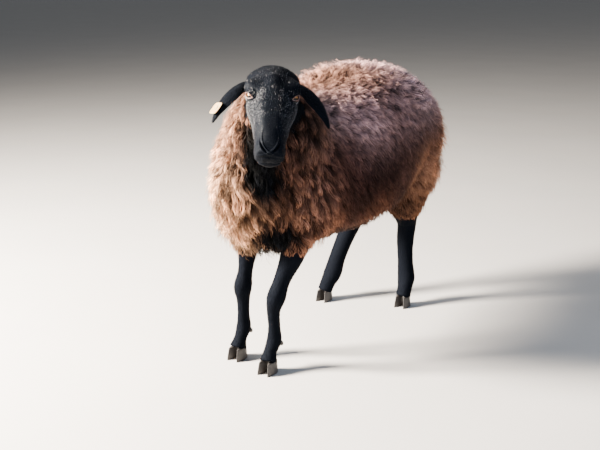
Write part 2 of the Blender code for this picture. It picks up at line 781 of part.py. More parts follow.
def even_points(obj, spacing):
    """Points spread evenly over a surface: seeded throws, each kept if no kept one is near."""
    mesh = obj.data
    mesh.calc_loop_triangles()
    corners = np.array([v.co for v in mesh.vertices])
    faces = np.array([t.vertices for t in mesh.loop_triangles])
    a, b, c = (corners[faces[:, k]] for k in range(3))
    square = np.cross(b - a, c - a)
    area = np.linalg.norm(square, axis=1)
    draw = np.random.default_rng(WOOL_SEED)
    chosen = draw.choice(len(faces), CLUMP_CANDIDATES, p=area / area.sum())
    first, second = draw.random((2, CLUMP_CANDIDATES, 1))
    over = first + second > 1
    first, second = np.where(over, 1 - first, first), np.where(over, 1 - second, second)
    points = a[chosen] + first * (b - a)[chosen] + second * (c - a)[chosen]
    normals = unit(square[chosen])
    woolly = is_woolly(points)
    points, normals = points[woolly], normals[woolly]
    kept = []
    for at in range(len(points)):
        if not kept or np.linalg.norm(points[kept] - points[at], axis=1).min() > spacing:
            kept.append(at)
    return points[kept], normals[kept]


def clump(root, normal, lie, size):
    """A rounded clump: it leaves the core, swells, and leans over to a blunt tip."""
    across = np.cross(lie, normal)
    length, width, thick = CLUMP_LENGTH * size, CLUMP_WIDTH * size, CLUMP_THICK * size
    turn = np.linspace(0.0, 2 * np.pi, CLUMP_SIDES, endpoint=False) + np.pi / 2
    start = root - lie * 0.40 * length
    points = [start - normal * CLUMP_ROOT_DEPTH]
    for share, height, full in CLUMP_RINGS:
        middle = start + lie * share * length + normal * height
        sideways = np.outer(np.cos(turn) * width / 2 * full, across)
        upwards = np.outer(np.sin(turn) * thick / 2 * full, normal)
        points += list(middle + sideways + upwards)
    points.append(start + lie * length + normal * CLUMP_TIP_HEIGHT)
    top = 1 + (len(CLUMP_RINGS) - 1) * CLUMP_SIDES
    faces = []
    for side in range(CLUMP_SIDES):
        after = (side + 1) % CLUMP_SIDES
        faces.append((0, 1 + after, 1 + side))
        for low in range(1, top, CLUMP_SIDES):
            high = low + CLUMP_SIDES
            faces.append((low + side, low + after, high + after, high + side))
        faces.append((top + side, top + after, len(points) - 1))
    return new_object("clump", closed_mesh("clump", points, faces), WOOL)


def make_clumps(core):
    """Every clump of the coat, set on the core along the coat's lie."""
    points, normals = even_points(core, CLUMP_SPACING)
    lies = wool_lie(points, normals)
    draw = np.random.default_rng(WOOL_SEED + 1)
    clumps = []
    for root, normal, lie in zip(points, normals, lies):
        swing = draw.normal(0.0, 0.18)
        lie = unit(lie + np.cross(normal, lie) * swing)
        clumps.append(clump(root, normal, lie, 1 + draw.uniform(-1, 1) * CLUMP_VARIATION))
    return clumps


def mirrored(stations):
    return [s._replace(x=-s.x) for s in stations]


def make_body():
    """The whole woolly body in one piece: trunk, neck, tail cushion, legs and clumps."""
    cores = [
        tube("trunk", loft_grid(TRUNK, 18, 16, 2.2, 2.2), WOOL),
        tube("neck_core", loft_grid(NECK, 14, 9), WOOL),
        tube("lobe_left", loft_grid(TAIL_LOBE, 10, 7), WOOL),
        tube("lobe_right", loft_grid(mirrored(TAIL_LOBE), 10, 7), WOOL),
    ]
    cores += [leg_shape(name, stations) for name, stations in LEGS.items()]
    core = joined("core", cores, WOOL)
    clumps = make_clumps(core)
    body = joined("body", [core, *clumps], WOOL, WOOL_SOLVER)
    return leg_bottom_cut(body)


def taken(body, name, cutter, spacer, finish):
    """The part of the body inside cutter, as its own object; the body loses what is inside spacer."""
    node = copied(body, name)
    boolean(node, cutter, "INTERSECT", WOOL_SOLVER)
    boolean(body, spacer, "DIFFERENCE", WOOL_SOLVER)
    node.data.materials.clear()
    node.data.materials.append(material(*finish))
    return keep_largest(node)


def part_leg(name, whole):
    """Parts one limb, already cut from the body, into its woolly upper node and its bare lower node."""
    height = FORE_PART_HEIGHT if name.startswith("fore") else HIND_PART_HEIGHT
    plane = ((0.0, 0.0, height), (0.0, 0.0, -1.0))
    lower = taken(
        whole,
        name,
        half_space("shank_cutter", *plane, GAP),
        half_space("shank_spacer", *plane, 0.0),
        SHORT_HAIR,
    )
    upper = keep_largest(whole)
    upper.name = name.replace("fore_leg", "forearm").replace("hind_leg", "thigh")
    return {lower.name: lower, upper.name: upper}


def part_body(body):
    """Parts the body into limbs, tail, neck and torso with cuts one gap wide."""
    grow = np.full(3, GAP)
    nodes = {}
    for name, (low, high) in LEG_BOXES.items():
        cutter = box("leg_cutter", low, high)
        spacer = box("leg_spacer", low - grow, high + grow)
        nodes.update(part_leg(name, taken(body, name + "_whole", cutter, spacer, WOOL)))
    plane = (TAIL_PLANE_POINT, TAIL_PLANE_NORMAL)
    nodes["fat_tail"] = taken(
        body,
        "fat_tail",
        half_space("tail_cutter", *plane, GAP),
        half_space("tail_spacer", *plane, 0.0),
        WOOL,
    )
    plane = (NECK_PLANE_POINT, NECK_PLANE_NORMAL)
    nodes["neck"] = taken(
        body,
        "neck",
        half_space("neck_cutter", *plane, GAP),
        half_space("neck_spacer", *plane, 0.0),
        WOOL,
    )
    body.name = "torso"
    nodes["torso"] = keep_largest(body)
    return nodes


def fit_neck(neck):
    """Hollows the top of the neck to the back of the head, one gap away from it."""
    place = head_matrix()
    skull = tube("skull_cutter", moved(head_grid(2 * GAP), place))
    boolean(neck, skull, "DIFFERENCE", WOOL_SOLVER)
    return keep_largest(neck)


def centre_footprint(objects):
    """Moves every mesh so that the origin is under the middle of the bounding box."""
    low = np.min([np.min([v.co for v in o.data.vertices], axis=0) for o in objects], axis=0)
    high = np.max([np.max([v.co for v in o.data.vertices], axis=0) for o in objects], axis=0)
    shift = Vector((-(low[0] + high[0]) / 2, -(low[1] + high[1]) / 2, 0.0))
    for obj in objects:
        obj.data.transform(Matrix.Translation(shift))


def main():
    for obj in list(bpy.data.objects):
        bpy.data.objects.remove(obj)
    make_head()
    ears = {word: make_ear("ear_" + word, side) for word, side in (("left", 1), ("right", -1))}
    rounded(make_tag(ears["right"]))
    for ear in ears.values():
        rounded(keep_largest(ear))
    for name, stations in LEGS.items():
        make_claw(name.replace("leg", "claw") + "_outer", stations, 1 if stations[-1].x > 0 else -1)
        make_claw(name.replace("leg", "claw") + "_inner", stations, -1 if stations[-1].x > 0 else 1)
    nodes = part_body(make_body())
    fit_neck(nodes["neck"])
    for node in nodes.values():
        rounded(node)
    centre_footprint([o for o in bpy.context.scene.objects if o.type == "MESH"])


main()
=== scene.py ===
"""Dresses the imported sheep: one skin, wool locks, short hair, eyes, lids, claws and the ear tag.

Every shape is worked out in the body's own coordinates, as in the part's source, and then moved by SHIFT,
the step by which the source centres its footprint. The animal faces -Y and its left side is +X.
"""

import math

import bpy
import numpy as np
from mathutils import Matrix, Vector


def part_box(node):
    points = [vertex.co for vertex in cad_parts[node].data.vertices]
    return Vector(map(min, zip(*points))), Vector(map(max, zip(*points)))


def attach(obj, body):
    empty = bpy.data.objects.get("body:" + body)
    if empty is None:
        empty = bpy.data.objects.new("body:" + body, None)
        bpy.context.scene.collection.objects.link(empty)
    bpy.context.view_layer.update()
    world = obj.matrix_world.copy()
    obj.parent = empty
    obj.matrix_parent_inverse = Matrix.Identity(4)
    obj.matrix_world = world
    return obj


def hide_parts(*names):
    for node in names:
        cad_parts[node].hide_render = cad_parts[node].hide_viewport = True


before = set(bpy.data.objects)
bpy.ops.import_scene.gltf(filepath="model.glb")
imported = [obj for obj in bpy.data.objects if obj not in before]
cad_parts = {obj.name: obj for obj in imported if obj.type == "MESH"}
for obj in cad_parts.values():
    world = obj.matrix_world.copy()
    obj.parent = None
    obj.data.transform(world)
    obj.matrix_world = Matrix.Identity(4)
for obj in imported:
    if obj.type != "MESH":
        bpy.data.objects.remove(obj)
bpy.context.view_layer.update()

# Where the fitted camera stands: degrees round the animal and above the floor, metres to its aim
CAMERA_AZIMUTH = 31.0
CAMERA_ELEVATION = 14.7
CAMERA_DISTANCE = 2.79
CAMERA_ASIDE = -0.060
CAMERA_AIM_HEIGHT = 0.317
LENS_MM = 60.0
# The lights: degrees round from the camera, elevation, distance, size, power, colour; all face LIGHT_AIM
LIGHTS = (
    ("key", -80, 24, 3.2, 0.8, 2800, (1.0, 0.88, 0.75)),
    ("fill", 40, 24, 3.6, 2.6, 125, (0.60, 0.75, 1.0)),
    ("back", 200, 58, 3.6, 2.0, 84, (1.0, 0.93, 0.86)),
)
LIGHT_AIM = (0.0, 0.0, 0.45)
FLOOR_REACH = 30.0

# Cross-sections of each form: x, y, z of the centre, half width, reach above and reach below
TRUNK = np.array([
    (0.010, -0.408, 0.470, 0.060, 0.068, 0.090),
    (0.010, -0.362, 0.492, 0.101, 0.110, 0.156),
    (0.004, -0.250, 0.512, 0.143, 0.166, 0.198),
    (0.000, -0.050, 0.520, 0.184, 0.178, 0.212),
    (0.000, 0.120, 0.530, 0.190, 0.196, 0.212),
    (0.000, 0.270, 0.555, 0.182, 0.174, 0.180),
    (0.000, 0.380, 0.570, 0.160, 0.130, 0.140),
    (0.000, 0.442, 0.575, 0.110, 0.078, 0.092),
])
NECK = np.array([
    (0.094, -0.405, 0.738, 0.050, 0.040, 0.045),
    (0.086, -0.380, 0.700, 0.070, 0.060, 0.080),
    (0.062, -0.335, 0.645, 0.096, 0.100, 0.115),
    (0.026, -0.275, 0.580, 0.124, 0.135, 0.150),
    (0.000, -0.205, 0.515, 0.135, 0.140, 0.150),
])
TAIL_LOBE = np.array([
    (0.040, 0.385, 0.650, 0.050, 0.030, 0.030),
    (0.048, 0.418, 0.605, 0.075, 0.050, 0.050),
    (0.052, 0.433, 0.540, 0.086, 0.060, 0.060),
    (0.055, 0.430, 0.475, 0.076, 0.052, 0.055),
    (0.055, 0.420, 0.435, 0.040, 0.028, 0.030),
])
FORE_LEFT = np.array([
    (0.088, -0.240, 0.470, 0.055, 0.070, 0.060),
    (0.080, -0.262, 0.370, 0.040, 0.050, 0.046),
    (0.072, -0.275, 0.310, 0.030, 0.034, 0.032),
    (0.053, -0.298, 0.240, 0.0205, 0.0225, 0.0215),
    (0.046, -0.310, 0.200, 0.0235, 0.0215, 0.0265),
    (0.037, -0.308, 0.165, 0.0175, 0.0180, 0.0185),
    (0.034, -0.302, 0.120, 0.0150, 0.0175, 0.0160),
    (0.031, -0.300, 0.078, 0.0185, 0.0215, 0.0190),
    (0.029, -0.314, 0.054, 0.0165, 0.0170, 0.0170),
    (0.030, -0.323, 0.032, 0.0215, 0.0225, 0.0240),
])
FORE_RIGHT = np.array([
    (-0.088, -0.240, 0.470, 0.055, 0.070, 0.060),
    (-0.076, -0.255, 0.370, 0.040, 0.050, 0.046),
    (-0.072, -0.262, 0.310, 0.027, 0.031, 0.029),
    (-0.077, -0.268, 0.240, 0.0185, 0.0205, 0.0200),
    (-0.081, -0.272, 0.200, 0.0230, 0.0215, 0.0265),
    (-0.084, -0.268, 0.165, 0.0175, 0.0180, 0.0185),
    (-0.087, -0.264, 0.120, 0.0150, 0.0175, 0.0160),
    (-0.090, -0.262, 0.078, 0.0185, 0.0215, 0.0190),
    (-0.092, -0.273, 0.054, 0.0165, 0.0170, 0.0170),
    (-0.093, -0.282, 0.032, 0.0215, 0.0225, 0.0240),
])
HIND_LEFT = np.array([
    (0.095, 0.300, 0.520, 0.070, 0.110, 0.120),
    (0.110, 0.310, 0.420, 0.066, 0.095, 0.105),
    (0.106, 0.322, 0.350, 0.052, 0.070, 0.072),
    (0.098, 0.345, 0.295, 0.037, 0.044, 0.044),
    (0.093, 0.362, 0.258, 0.0285, 0.0360, 0.0310),
    (0.091, 0.360, 0.205, 0.0255, 0.0280, 0.0255),
    (0.096, 0.355, 0.135, 0.0235, 0.0250, 0.0235),
    (0.102, 0.349, 0.080, 0.0255, 0.0275, 0.0250),
    (0.104, 0.336, 0.054, 0.0215, 0.0225, 0.0225),
    (0.104, 0.328, 0.032, 0.0215, 0.0225, 0.0240),
])
HIND_RIGHT = np.array([
    (-0.095, 0.290, 0.520, 0.070, 0.110, 0.120),
    (-0.105, 0.290, 0.420, 0.066, 0.095, 0.105),
    (-0.102, 0.306, 0.350, 0.052, 0.070, 0.072),
    (-0.088, 0.338, 0.295, 0.037, 0.044, 0.044),
    (-0.085, 0.354, 0.258, 0.0290, 0.0360, 0.0310),
    (-0.094, 0.325, 0.205, 0.0270, 0.0290, 0.0265),
    (-0.108, 0.294, 0.135, 0.0250, 0.0265, 0.0250),
    (-0.119, 0.276, 0.080, 0.0265, 0.0285, 0.0260),
    (-0.126, 0.262, 0.054, 0.0225, 0.0230, 0.0230),
    (-0.131, 0.254, 0.032, 0.0215, 0.0225, 0.0240),
])
LEGS = {
    "fore_left": FORE_LEFT,
    "fore_right": FORE_RIGHT,
    "hind_left": HIND_LEFT,
    "hind_right": HIND_RIGHT,
}
# Where the wool ends on the left fore leg, the right one and the hind legs
LEFT_WOOL_EDGE, RIGHT_WOOL_EDGE, HIND_WOOL_EDGE = 0.322, 0.298, 0.285

# The head in its own frame: muzzle towards -Y, forehead up
HEAD = np.array([
    (0.0, -0.2290, -0.012, 0.0150, 0.010, 0.012),
    (0.0, -0.2250, -0.012, 0.0240, 0.018, 0.022),
    (0.0, -0.2120, -0.011, 0.0305, 0.026, 0.031),
    (0.0, -0.1850, -0.008, 0.0325, 0.034, 0.037),
    (0.0, -0.1450, -0.004, 0.0410, 0.045, 0.045),
    (0.0, -0.1050, -0.004, 0.0475, 0.055, 0.058),
    (0.0, -0.0650, -0.008, 0.0550, 0.063, 0.067),
    (0.0, -0.0250, -0.012, 0.0560, 0.064, 0.066),
    (0.0, 0.0120, -0.012, 0.0500, 0.054, 0.056),
    (0.0, 0.0360, -0.014, 0.0260, 0.032, 0.034),
])
HEAD_PLACE = (0.114, -0.425, 0.758)
HEAD_TURN, HEAD_NOD, HEAD_TILT = 29.8, 35.0, 4.0
# Swellings and hollows: x, y, z of the middle, height, spread
HEAD_BUMPS = (
    (0.056, -0.046, 0.037, 0.0220, 0.014),  # brow
    (0.052, -0.004, 0.016, 0.0080, 0.016),  # root of the ear
    (0.052, -0.072, 0.026, 0.0035, 0.015),  # eye socket
    (0.048, -0.098, 0.002, 0.0030, 0.015),  # cheek bone
    (0.052, -0.050, -0.040, 0.0045, 0.024),  # jaw
    (0.020, -0.212, 0.008, 0.0025, 0.009),  # wing of the nostril
    (0.018, -0.214, -0.012, 0.0020, 0.010),  # upper lip
    (0.000, -0.212, -0.040, 0.0050, 0.012),  # chin
    (0.000, -0.130, 0.045, 0.0030, 0.030),  # bridge of the nose
    (0.038, -0.135, 0.016, -0.0045, 0.018),  # side of the nose
    (0.000, -0.230, -0.004, -0.0020, 0.006),  # between the nostrils
)
HEAD_DETAIL = (
    (0.036, -0.083, 0.037, -0.0042, 0.0085),  # hollow before the eye
    (0.041, -0.100, 0.020, -0.0022, 0.0060),  # hollow under the eye
    (0.021, -0.104, 0.046, 0.0014, 0.0090),  # edge of the bridge
    (0.020, -0.130, 0.039, 0.0028, 0.0095),  # edge of the bridge
    (0.018, -0.158, 0.033, 0.0024, 0.0095),  # edge of the bridge
    (0.029, -0.118, 0.035, -0.0022, 0.0060),  # groove beside the bridge
    (0.028, -0.136, 0.030, -0.0022, 0.0060),  # groove beside the bridge
    (0.027, -0.154, 0.025, -0.0020, 0.0060),  # groove beside the bridge
    (0.000, -0.030, 0.052, 0.0026, 0.0080),  # forehead
    (0.000, -0.052, 0.054, 0.0026, 0.0080),  # forehead
    (0.000, -0.074, 0.052, 0.0018, 0.0080),  # forehead
    (0.020, -0.052, 0.053, -0.0018, 0.0090),  # hollow of the forehead
    (0.050, -0.120, -0.020, -0.0016, 0.0120),  # hollow of the cheek
    (0.034, -0.196, -0.020, 0.0016, 0.0080),  # corner of the lips
    (0.030, -0.186, 0.006, -0.0014, 0.0090),  # hollow behind the nostril
)
MOUTH_HEIGHT, MOUTH_CORNER = -0.0240, -0.170
NOSTRIL_PLACE = (0.0150, -0.2140, 0.0105)
NOSTRIL_RUNS = (0.56, 0.64, 0.52)
NOSTRIL_HALF_LONG, NOSTRIL_HALF_WIDE, NOSTRIL_DEEP, NOSTRIL_BEND = 0.0140, 0.0019, 0.0075, 18.0
EYE_PLACE = (0.0428, -0.0690, 0.0270)
EYE_LOOKS = (0.76, -0.52, 0.38)
GAZE = (0.58, -0.76, 0.30)
EYE_RADIUS = 0.0145
LID_RADIUS = 0.0173
LID_HALF_LONG, LID_UPPER_HIGH, LID_LOWER_HIGH = 0.0124, 0.0056, 0.0062
LID_TILT = 14.0

# An ear's rings: x, y, z, half width, cup, thickness
EAR = np.array([
    (0.030, -0.006, -0.006, 0.0150, 0.0100, 0.0110),
    (0.054, -0.010, -0.004, 0.0170, 0.0110, 0.0085),
    (0.076, -0.024, -0.006, 0.0225, 0.0125, 0.0045),
    (0.096, -0.046, -0.011, 0.0255, 0.0115, 0.0034),
    (0.111, -0.069, -0.017, 0.0195, 0.0085, 0.0030),
    (0.122, -0.088, -0.023, 0.0100, 0.0040, 0.0026),
    (0.129, -0.105, -0.028, 0.0022, 0.0008, 0.0020),
])
EAR_BACK = np.array((0.45, 0.30, 0.85))
EAR_TAG_RING, EAR_TAG_RINGS = 8, 11
TAG_HALF_WIDE, TAG_HALF_LONG, TAG_THICK, TAG_STANDOFF = 0.0125, 0.016, 0.0018, 0.0052

CLAW_TOP, CLAW_WIDTH, CLAW_CLEFT, CLAW_LENGTH, CLAW_HEEL = 0.0320, 0.0195, 0.0050, 0.0520, 0.0210
TOE_SPLAY = 5.0
# From one growth ring of a claw to the next
CLAW_RING = 0.0036

SEED = 7
# Everything with short hair above this height is the head
HEAD_FLOOR = 0.50

# Coat colours, linear: x, y, z of a place on the body, how far it reaches, red, green, blue. They were
# typed and changed until each region's tone came near the photograph's, so they
# hold part of its light and shade as well as the wool's own colour
FRONT_COLOURS = (
    (-0.12, -0.40, 0.60, 0.07, 0.460, 0.235, 0.150),  # neck, front right
    (-0.11, -0.41, 0.46, 0.07, 0.980, 0.660, 0.440),  # chest, right
    (-0.10, -0.40, 0.36, 0.06, 0.900, 0.520, 0.300),  # chest, low right
    (0.00, -0.44, 0.43, 0.05, 0.760, 0.400, 0.230),  # chest, middle
    (0.10, -0.37, 0.43, 0.05, 0.150, 0.070, 0.045),  # chest, left
    (0.15, -0.36, 0.42, 0.05, 0.260, 0.120, 0.070),  # point of the left shoulder
    (0.10, -0.42, 0.54, 0.05, 0.110, 0.050, 0.035),  # neck, front left
    (0.17, -0.28, 0.47, 0.05, 0.300, 0.150, 0.110),  # left shoulder
    (0.17, -0.32, 0.66, 0.06, 0.080, 0.042, 0.032),  # neck, left
    (-0.12, -0.28, 0.68, 0.07, 0.270, 0.150, 0.100),  # neck, right
    (-0.13, -0.24, 0.58, 0.05, 0.200, 0.100, 0.068),  # right shoulder, upper
    (-0.16, -0.24, 0.42, 0.07, 0.360, 0.210, 0.130),  # right shoulder, lower
    (-0.12, -0.26, 0.34, 0.06, 0.380, 0.200, 0.105),  # top of the right fore leg
    (0.06, -0.24, 0.73, 0.06, 0.200, 0.110, 0.080),  # nape
    (0.11, -0.18, 0.70, 0.04, 0.560, 0.400, 0.430),  # withers, left
)
SIDE_COLOURS = (
    (0.20, -0.18, 0.52, 0.08, 0.054, 0.024, 0.022),  # behind the shoulder
    (0.00, 0.00, 0.74, 0.11, 0.250, 0.122, 0.080),  # back
    (0.15, -0.05, 0.66, 0.06, 0.920, 0.600, 0.640),  # upper ribs, front
    (0.20, -0.02, 0.50, 0.09, 0.016, 0.007, 0.008),  # ribs
    (0.16, 0.10, 0.65, 0.05, 0.400, 0.250, 0.260),  # upper ribs, rear
    (0.18, 0.12, 0.47, 0.04, 0.110, 0.056, 0.046),  # flank
    (0.13, -0.21, 0.37, 0.04, 0.380, 0.165, 0.095),  # elbow
    (0.17, -0.10, 0.42, 0.05, 0.045, 0.019, 0.014),  # behind the elbow
    (0.16, 0.00, 0.36, 0.05, 0.260, 0.105, 0.060),  # edge of the belly
    (0.00, 0.00, 0.32, 0.10, 0.014, 0.009, 0.008),  # belly
    (0.00, 0.32, 0.74, 0.10, 0.880, 0.560, 0.560),  # top of the rump
    (0.10, 0.33, 0.68, 0.06, 0.960, 0.660, 0.680),  # upper rump
    (0.16, 0.32, 0.56, 0.08, 0.018, 0.008, 0.008),  # side of the rump
    (0.13, 0.46, 0.47, 0.08, 0.950, 0.400, 0.190),  # tail cushion
    (0.18, 0.30, 0.44, 0.05, 0.860, 0.420, 0.250),  # thigh, upper
    (0.16, 0.31, 0.36, 0.04, 0.170, 0.078, 0.044),  # thigh, lower
    (0.15, 0.23, 0.37, 0.06, 0.014, 0.008, 0.007),  # fold of the flank
    (0.12, 0.34, 0.32, 0.05, 0.180, 0.082, 0.046),  # edge of the thigh's wool
)
MIRRORED = np.array((-1, 1, 1, 1, 1, 1, 1))
COAT_COLOURS = np.concatenate([FRONT_COLOURS, SIDE_COLOURS, np.array(SIDE_COLOURS) * MIRRORED])
# Where the fleece stands higher or lower: x, y, z, reach, share added to its height
FLEECE_FRONT = (
    (-0.09, -0.41, 0.38, 0.07, 0.80),  # chest, low right
    (-0.11, -0.38, 0.56, 0.06, -0.50),  # neck, front right
    (0.00, -0.28, 0.33, 0.07, 1.40),  # between the fore legs
    (0.06, -0.33, 0.34, 0.04, 1.00),  # before the left fore leg
    (0.00, -0.05, 0.73, 0.07, -0.45),  # back
)
FLEECE_SIDE = (
    (0.10, 0.38, 0.68, 0.07, -0.30),  # upper rump
    (0.15, 0.43, 0.44, 0.06, 0.70),  # thigh, rear
    (0.17, 0.40, 0.54, 0.07, 0.60),  # side of the tail
    (0.12, 0.10, 0.33, 0.10, 0.60),  # edge of the belly
)
FLEECE_DEPTHS = np.concatenate([FLEECE_FRONT, FLEECE_SIDE, np.array(FLEECE_SIDE) * MIRRORED[:5]])
# Black between the fore legs and under the throat, partly the black wool and partly painted shade: x, y, z of
# its middle and its half sizes
BRISKET = (0.068, -0.360, 0.378, 0.056, 0.080, 0.060)
THROAT = (0.074, -0.412, 0.578, 0.041, 0.085, 0.100)
BLACK_HAIR = np.array((0.0026, 0.0032, 0.0048))
# The pale hairs' colour: painted glints of light on the black hair
GLINT_HAIR = np.array((0.43, 0.43, 0.44))
SPECKLE = 0.0026
HEAD_HAIR_SPACING, LEG_HAIR_SPACING = 0.0020, 0.0038


def head_matrix():
    """The head's frame in the body's coordinates: turned, nodded and tilted about the skull."""
    return (
        Matrix.Translation(Vector(HEAD_PLACE))
        @ Matrix.Rotation(math.radians(HEAD_TURN), 4, "Z")
        @ Matrix.Rotation(math.radians(HEAD_NOD), 4, "X")
        @ Matrix.Rotation(math.radians(HEAD_TILT), 4, "Y")
    )


HEAD_FRAME = head_matrix()


def eye_frame(side, way=EYE_LOOKS):
    """An eye's frame in the head's: Z out along the given way, X along the slit of the lids."""
    centre = Vector((side * EYE_PLACE[0], EYE_PLACE[1], EYE_PLACE[2]))
    looks = Vector((side * way[0], way[1], way[2]))
    turn = looks.to_track_quat("Z", "Y").to_matrix().to_4x4()
    tilt = Matrix.Rotation(math.radians(-side * LID_TILT), 4, "Z")
    return Matrix.Translation(centre) @ turn @ tilt


def body_shift():
    """How far the source moved the model to centre it: from where the left eye is to where it was drawn."""
    low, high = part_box("eye_left")
    drawn = np.array((HEAD_FRAME @ eye_frame(1)).translation)
    shift = (np.array(low) + np.array(high)) / 2 - drawn
    shift[2] = 0.0
    return shift


SHIFT = body_shift()


def unit(vectors):
    """Each vector divided by its length."""
    return vectors / np.maximum(np.linalg.norm(vectors, axis=-1, keepdims=True), 1e-12)


def step_up(values, start, end):
    """0 before start, 1 after end, and 3t^2 - 2t^3 between."""
    t = np.clip((values - start) / (end - start), 0.0, 1.0)
    return t * t * (3 - 2 * t)


def signed_power(values, power):
    """The values' sizes to a power, with their signs kept."""
    return np.sign(values) * np.abs(values) ** power


def inside_out(corners):
    """Whether a closed form's triangles, given by their corners, face inwards: the sum of a . (b x c) is
    below 0."""
    return np.einsum("ij,ij->", corners[:, 0], np.cross(corners[:, 1], corners[:, 2])) < 0


def carried(points, matrix):
    """The points turned and moved by a 4 by 4 matrix."""
    return points @ np.array(matrix.to_3x3()).T + np.array(matrix.translation)


def returned(points, matrix):
    """The points as a frame sees them: the inverse of carried, for a frame that only turns and moves."""
    return (points - np.array(matrix.translation)) @ np.array(matrix.to_3x3())


def through(knots, values, at):
    """A cubic between each two knots, whose slope at a knot is the mean of the slopes beside it."""
    slopes = np.gradient(values, knots, axis=0)
    low = np.clip(np.searchsorted(knots, at, side="right") - 1, 0, len(knots) - 2)
    span = (knots[low + 1] - knots[low])[:, None]
    t = (at - knots[low])[:, None] / span
    return (
        (2 * t**3 - 3 * t**2 + 1) * values[low]
        + (t**3 - 2 * t**2 + t) * slopes[low] * span
        + (3 * t**2 - 2 * t**3) * values[low + 1]
        + (t**3 - t**2) * slopes[low + 1] * span
    )


def along_path(rows, shares):
    """The rows' values where the given shares of the path through their centres lie."""
    steps = np.linalg.norm(np.diff(rows[:, :3], axis=0), axis=1)
    knots = np.concatenate([[0.0], np.cumsum(steps)])
    return through(knots, rows, shares * knots[-1])


def crowded(count, peaks):
    """Shares from 0 to 1 that lie closer at each peak: the inverse of the running sum of
    1 + extra e^-((s - middle) / width)^2."""
    fine = np.linspace(0.0, 1.0, 4001)
    density = np.ones_like(fine)
    for middle, width, extra in peaks:
        density += extra * np.exp(-(((fine - middle) / width) ** 2))
    total = np.concatenate([[0.0], np.cumsum((density[1:] + density[:-1]) / 2)])
    return np.interp(np.linspace(0.0, total[-1], count), total, fine)


def loft(rows, shares, turns, full_up=2.0, full_down=2.0):
    """Rings round a path. At angle a: across by width times cos a, over by reach times sin a, each to the
    power 2 over the fullness, so that 2 is an ellipse and more is squarer."""
    rows = along_path(rows, shares)
    centres = rows[:, :3]
    along = unit(np.gradient(centres, axis=0))
    over = unit(np.cross(np.array((1.0, 0.0, 0.0)), along))
    across = np.cross(along, over)
    full = np.where(np.sin(turns) > 0, full_up, full_down)
    sideways = signed_power(np.cos(turns), 2 / full)
    upwards = signed_power(np.sin(turns), 2 / full)
    reach = np.where(upwards > 0, rows[:, 4:5], rows[:, 5:6]) * upwards
    return (
        centres[:, None]
        + across[:, None] * (rows[:, 3:4] * sideways)[..., None]
        + over[:, None] * reach[..., None]
    )


def capped(grid, bulge=0.35, rings=5):
    """The grid with both ends closed: rings that shrink to a pole as cos t, and move out by bulge times the
    end's mean radius times sin t."""
    parts = [grid]
    for end, inner in ((0, 1), (-1, -2)):
        ring = grid[end]
        middle = ring.mean(axis=0)
        radius = np.linalg.norm(ring - middle, axis=1).mean()
        out = unit(middle - grid[inner].mean(axis=0)) * radius * bulge
        t = np.linspace(0.0, np.pi / 2, rings + 1)[1:, None, None]
        shrink = np.cos(t) + 1e-3
        added = middle + (ring - middle) * shrink + out * np.sin(t)
        if end == 0:
            parts.insert(0, added[::-1])
        else:
            parts.append(added)
    return np.concatenate(parts)


def raised(grid, bumps):
    """Moves each point away from its ring's middle by height e^-(d^2 / 2 spread^2) for each bump and its
    mirror."""
    outward = unit(grid - grid.mean(axis=1, keepdims=True))
    amount = np.zeros(grid.shape[:2])
    for x, y, z, height, spread in bumps:
        for side in {x, -x}:
            off = grid - np.array((side, y, z))
            amount += height * np.exp(-(off**2).sum(axis=-1) / (2 * spread**2))
    return grid + outward * amount[..., None]


def new_piece(name, points, triangles, uvs=None, attributes=None, smooth=True):
    """An object at the origin from arrays: points, corner numbers of triangles, a UV pair a corner, and
    values a point."""
    mesh = bpy.data.meshes.new(name)
    mesh.vertices.add(len(points))
    mesh.vertices.foreach_set("co", np.ascontiguousarray(points, np.float32).ravel())
    mesh.loops.add(triangles.size)
    mesh.loops.foreach_set("vertex_index", np.ascontiguousarray(triangles, np.int32).ravel())
    mesh.polygons.add(len(triangles))
    mesh.polygons.foreach_set("loop_start", np.arange(0, triangles.size, 3, dtype=np.int32))
    mesh.update(calc_edges=True)
    for key, pairs in (uvs or {}).items():
        layer = mesh.uv_layers.new(name=key)
        layer.data.foreach_set("uv", np.ascontiguousarray(pairs, np.float32).ravel())
    for key, values in (attributes or {}).items():
        set_values(mesh, key, values)
    if smooth:
        mesh.shade_smooth()
    obj = bpy.data.objects.new(name, mesh)
    bpy.context.scene.collection.objects.link(obj)
    return obj


def set_values(mesh, key, values):
    """Stores a number or a colour for each point of the mesh."""
    if values.ndim == 1:
        layer = mesh.attributes.new(key, "FLOAT", "POINT")
        layer.data.foreach_set("value", np.ascontiguousarray(values, np.float32))
        return
    layer = mesh.attributes.new(key, "FLOAT_COLOR", "POINT")
    full = np.ones((len(values), 4), np.float32)
    full[:, :3] = values
    layer.data.foreach_set("color", full.ravel())


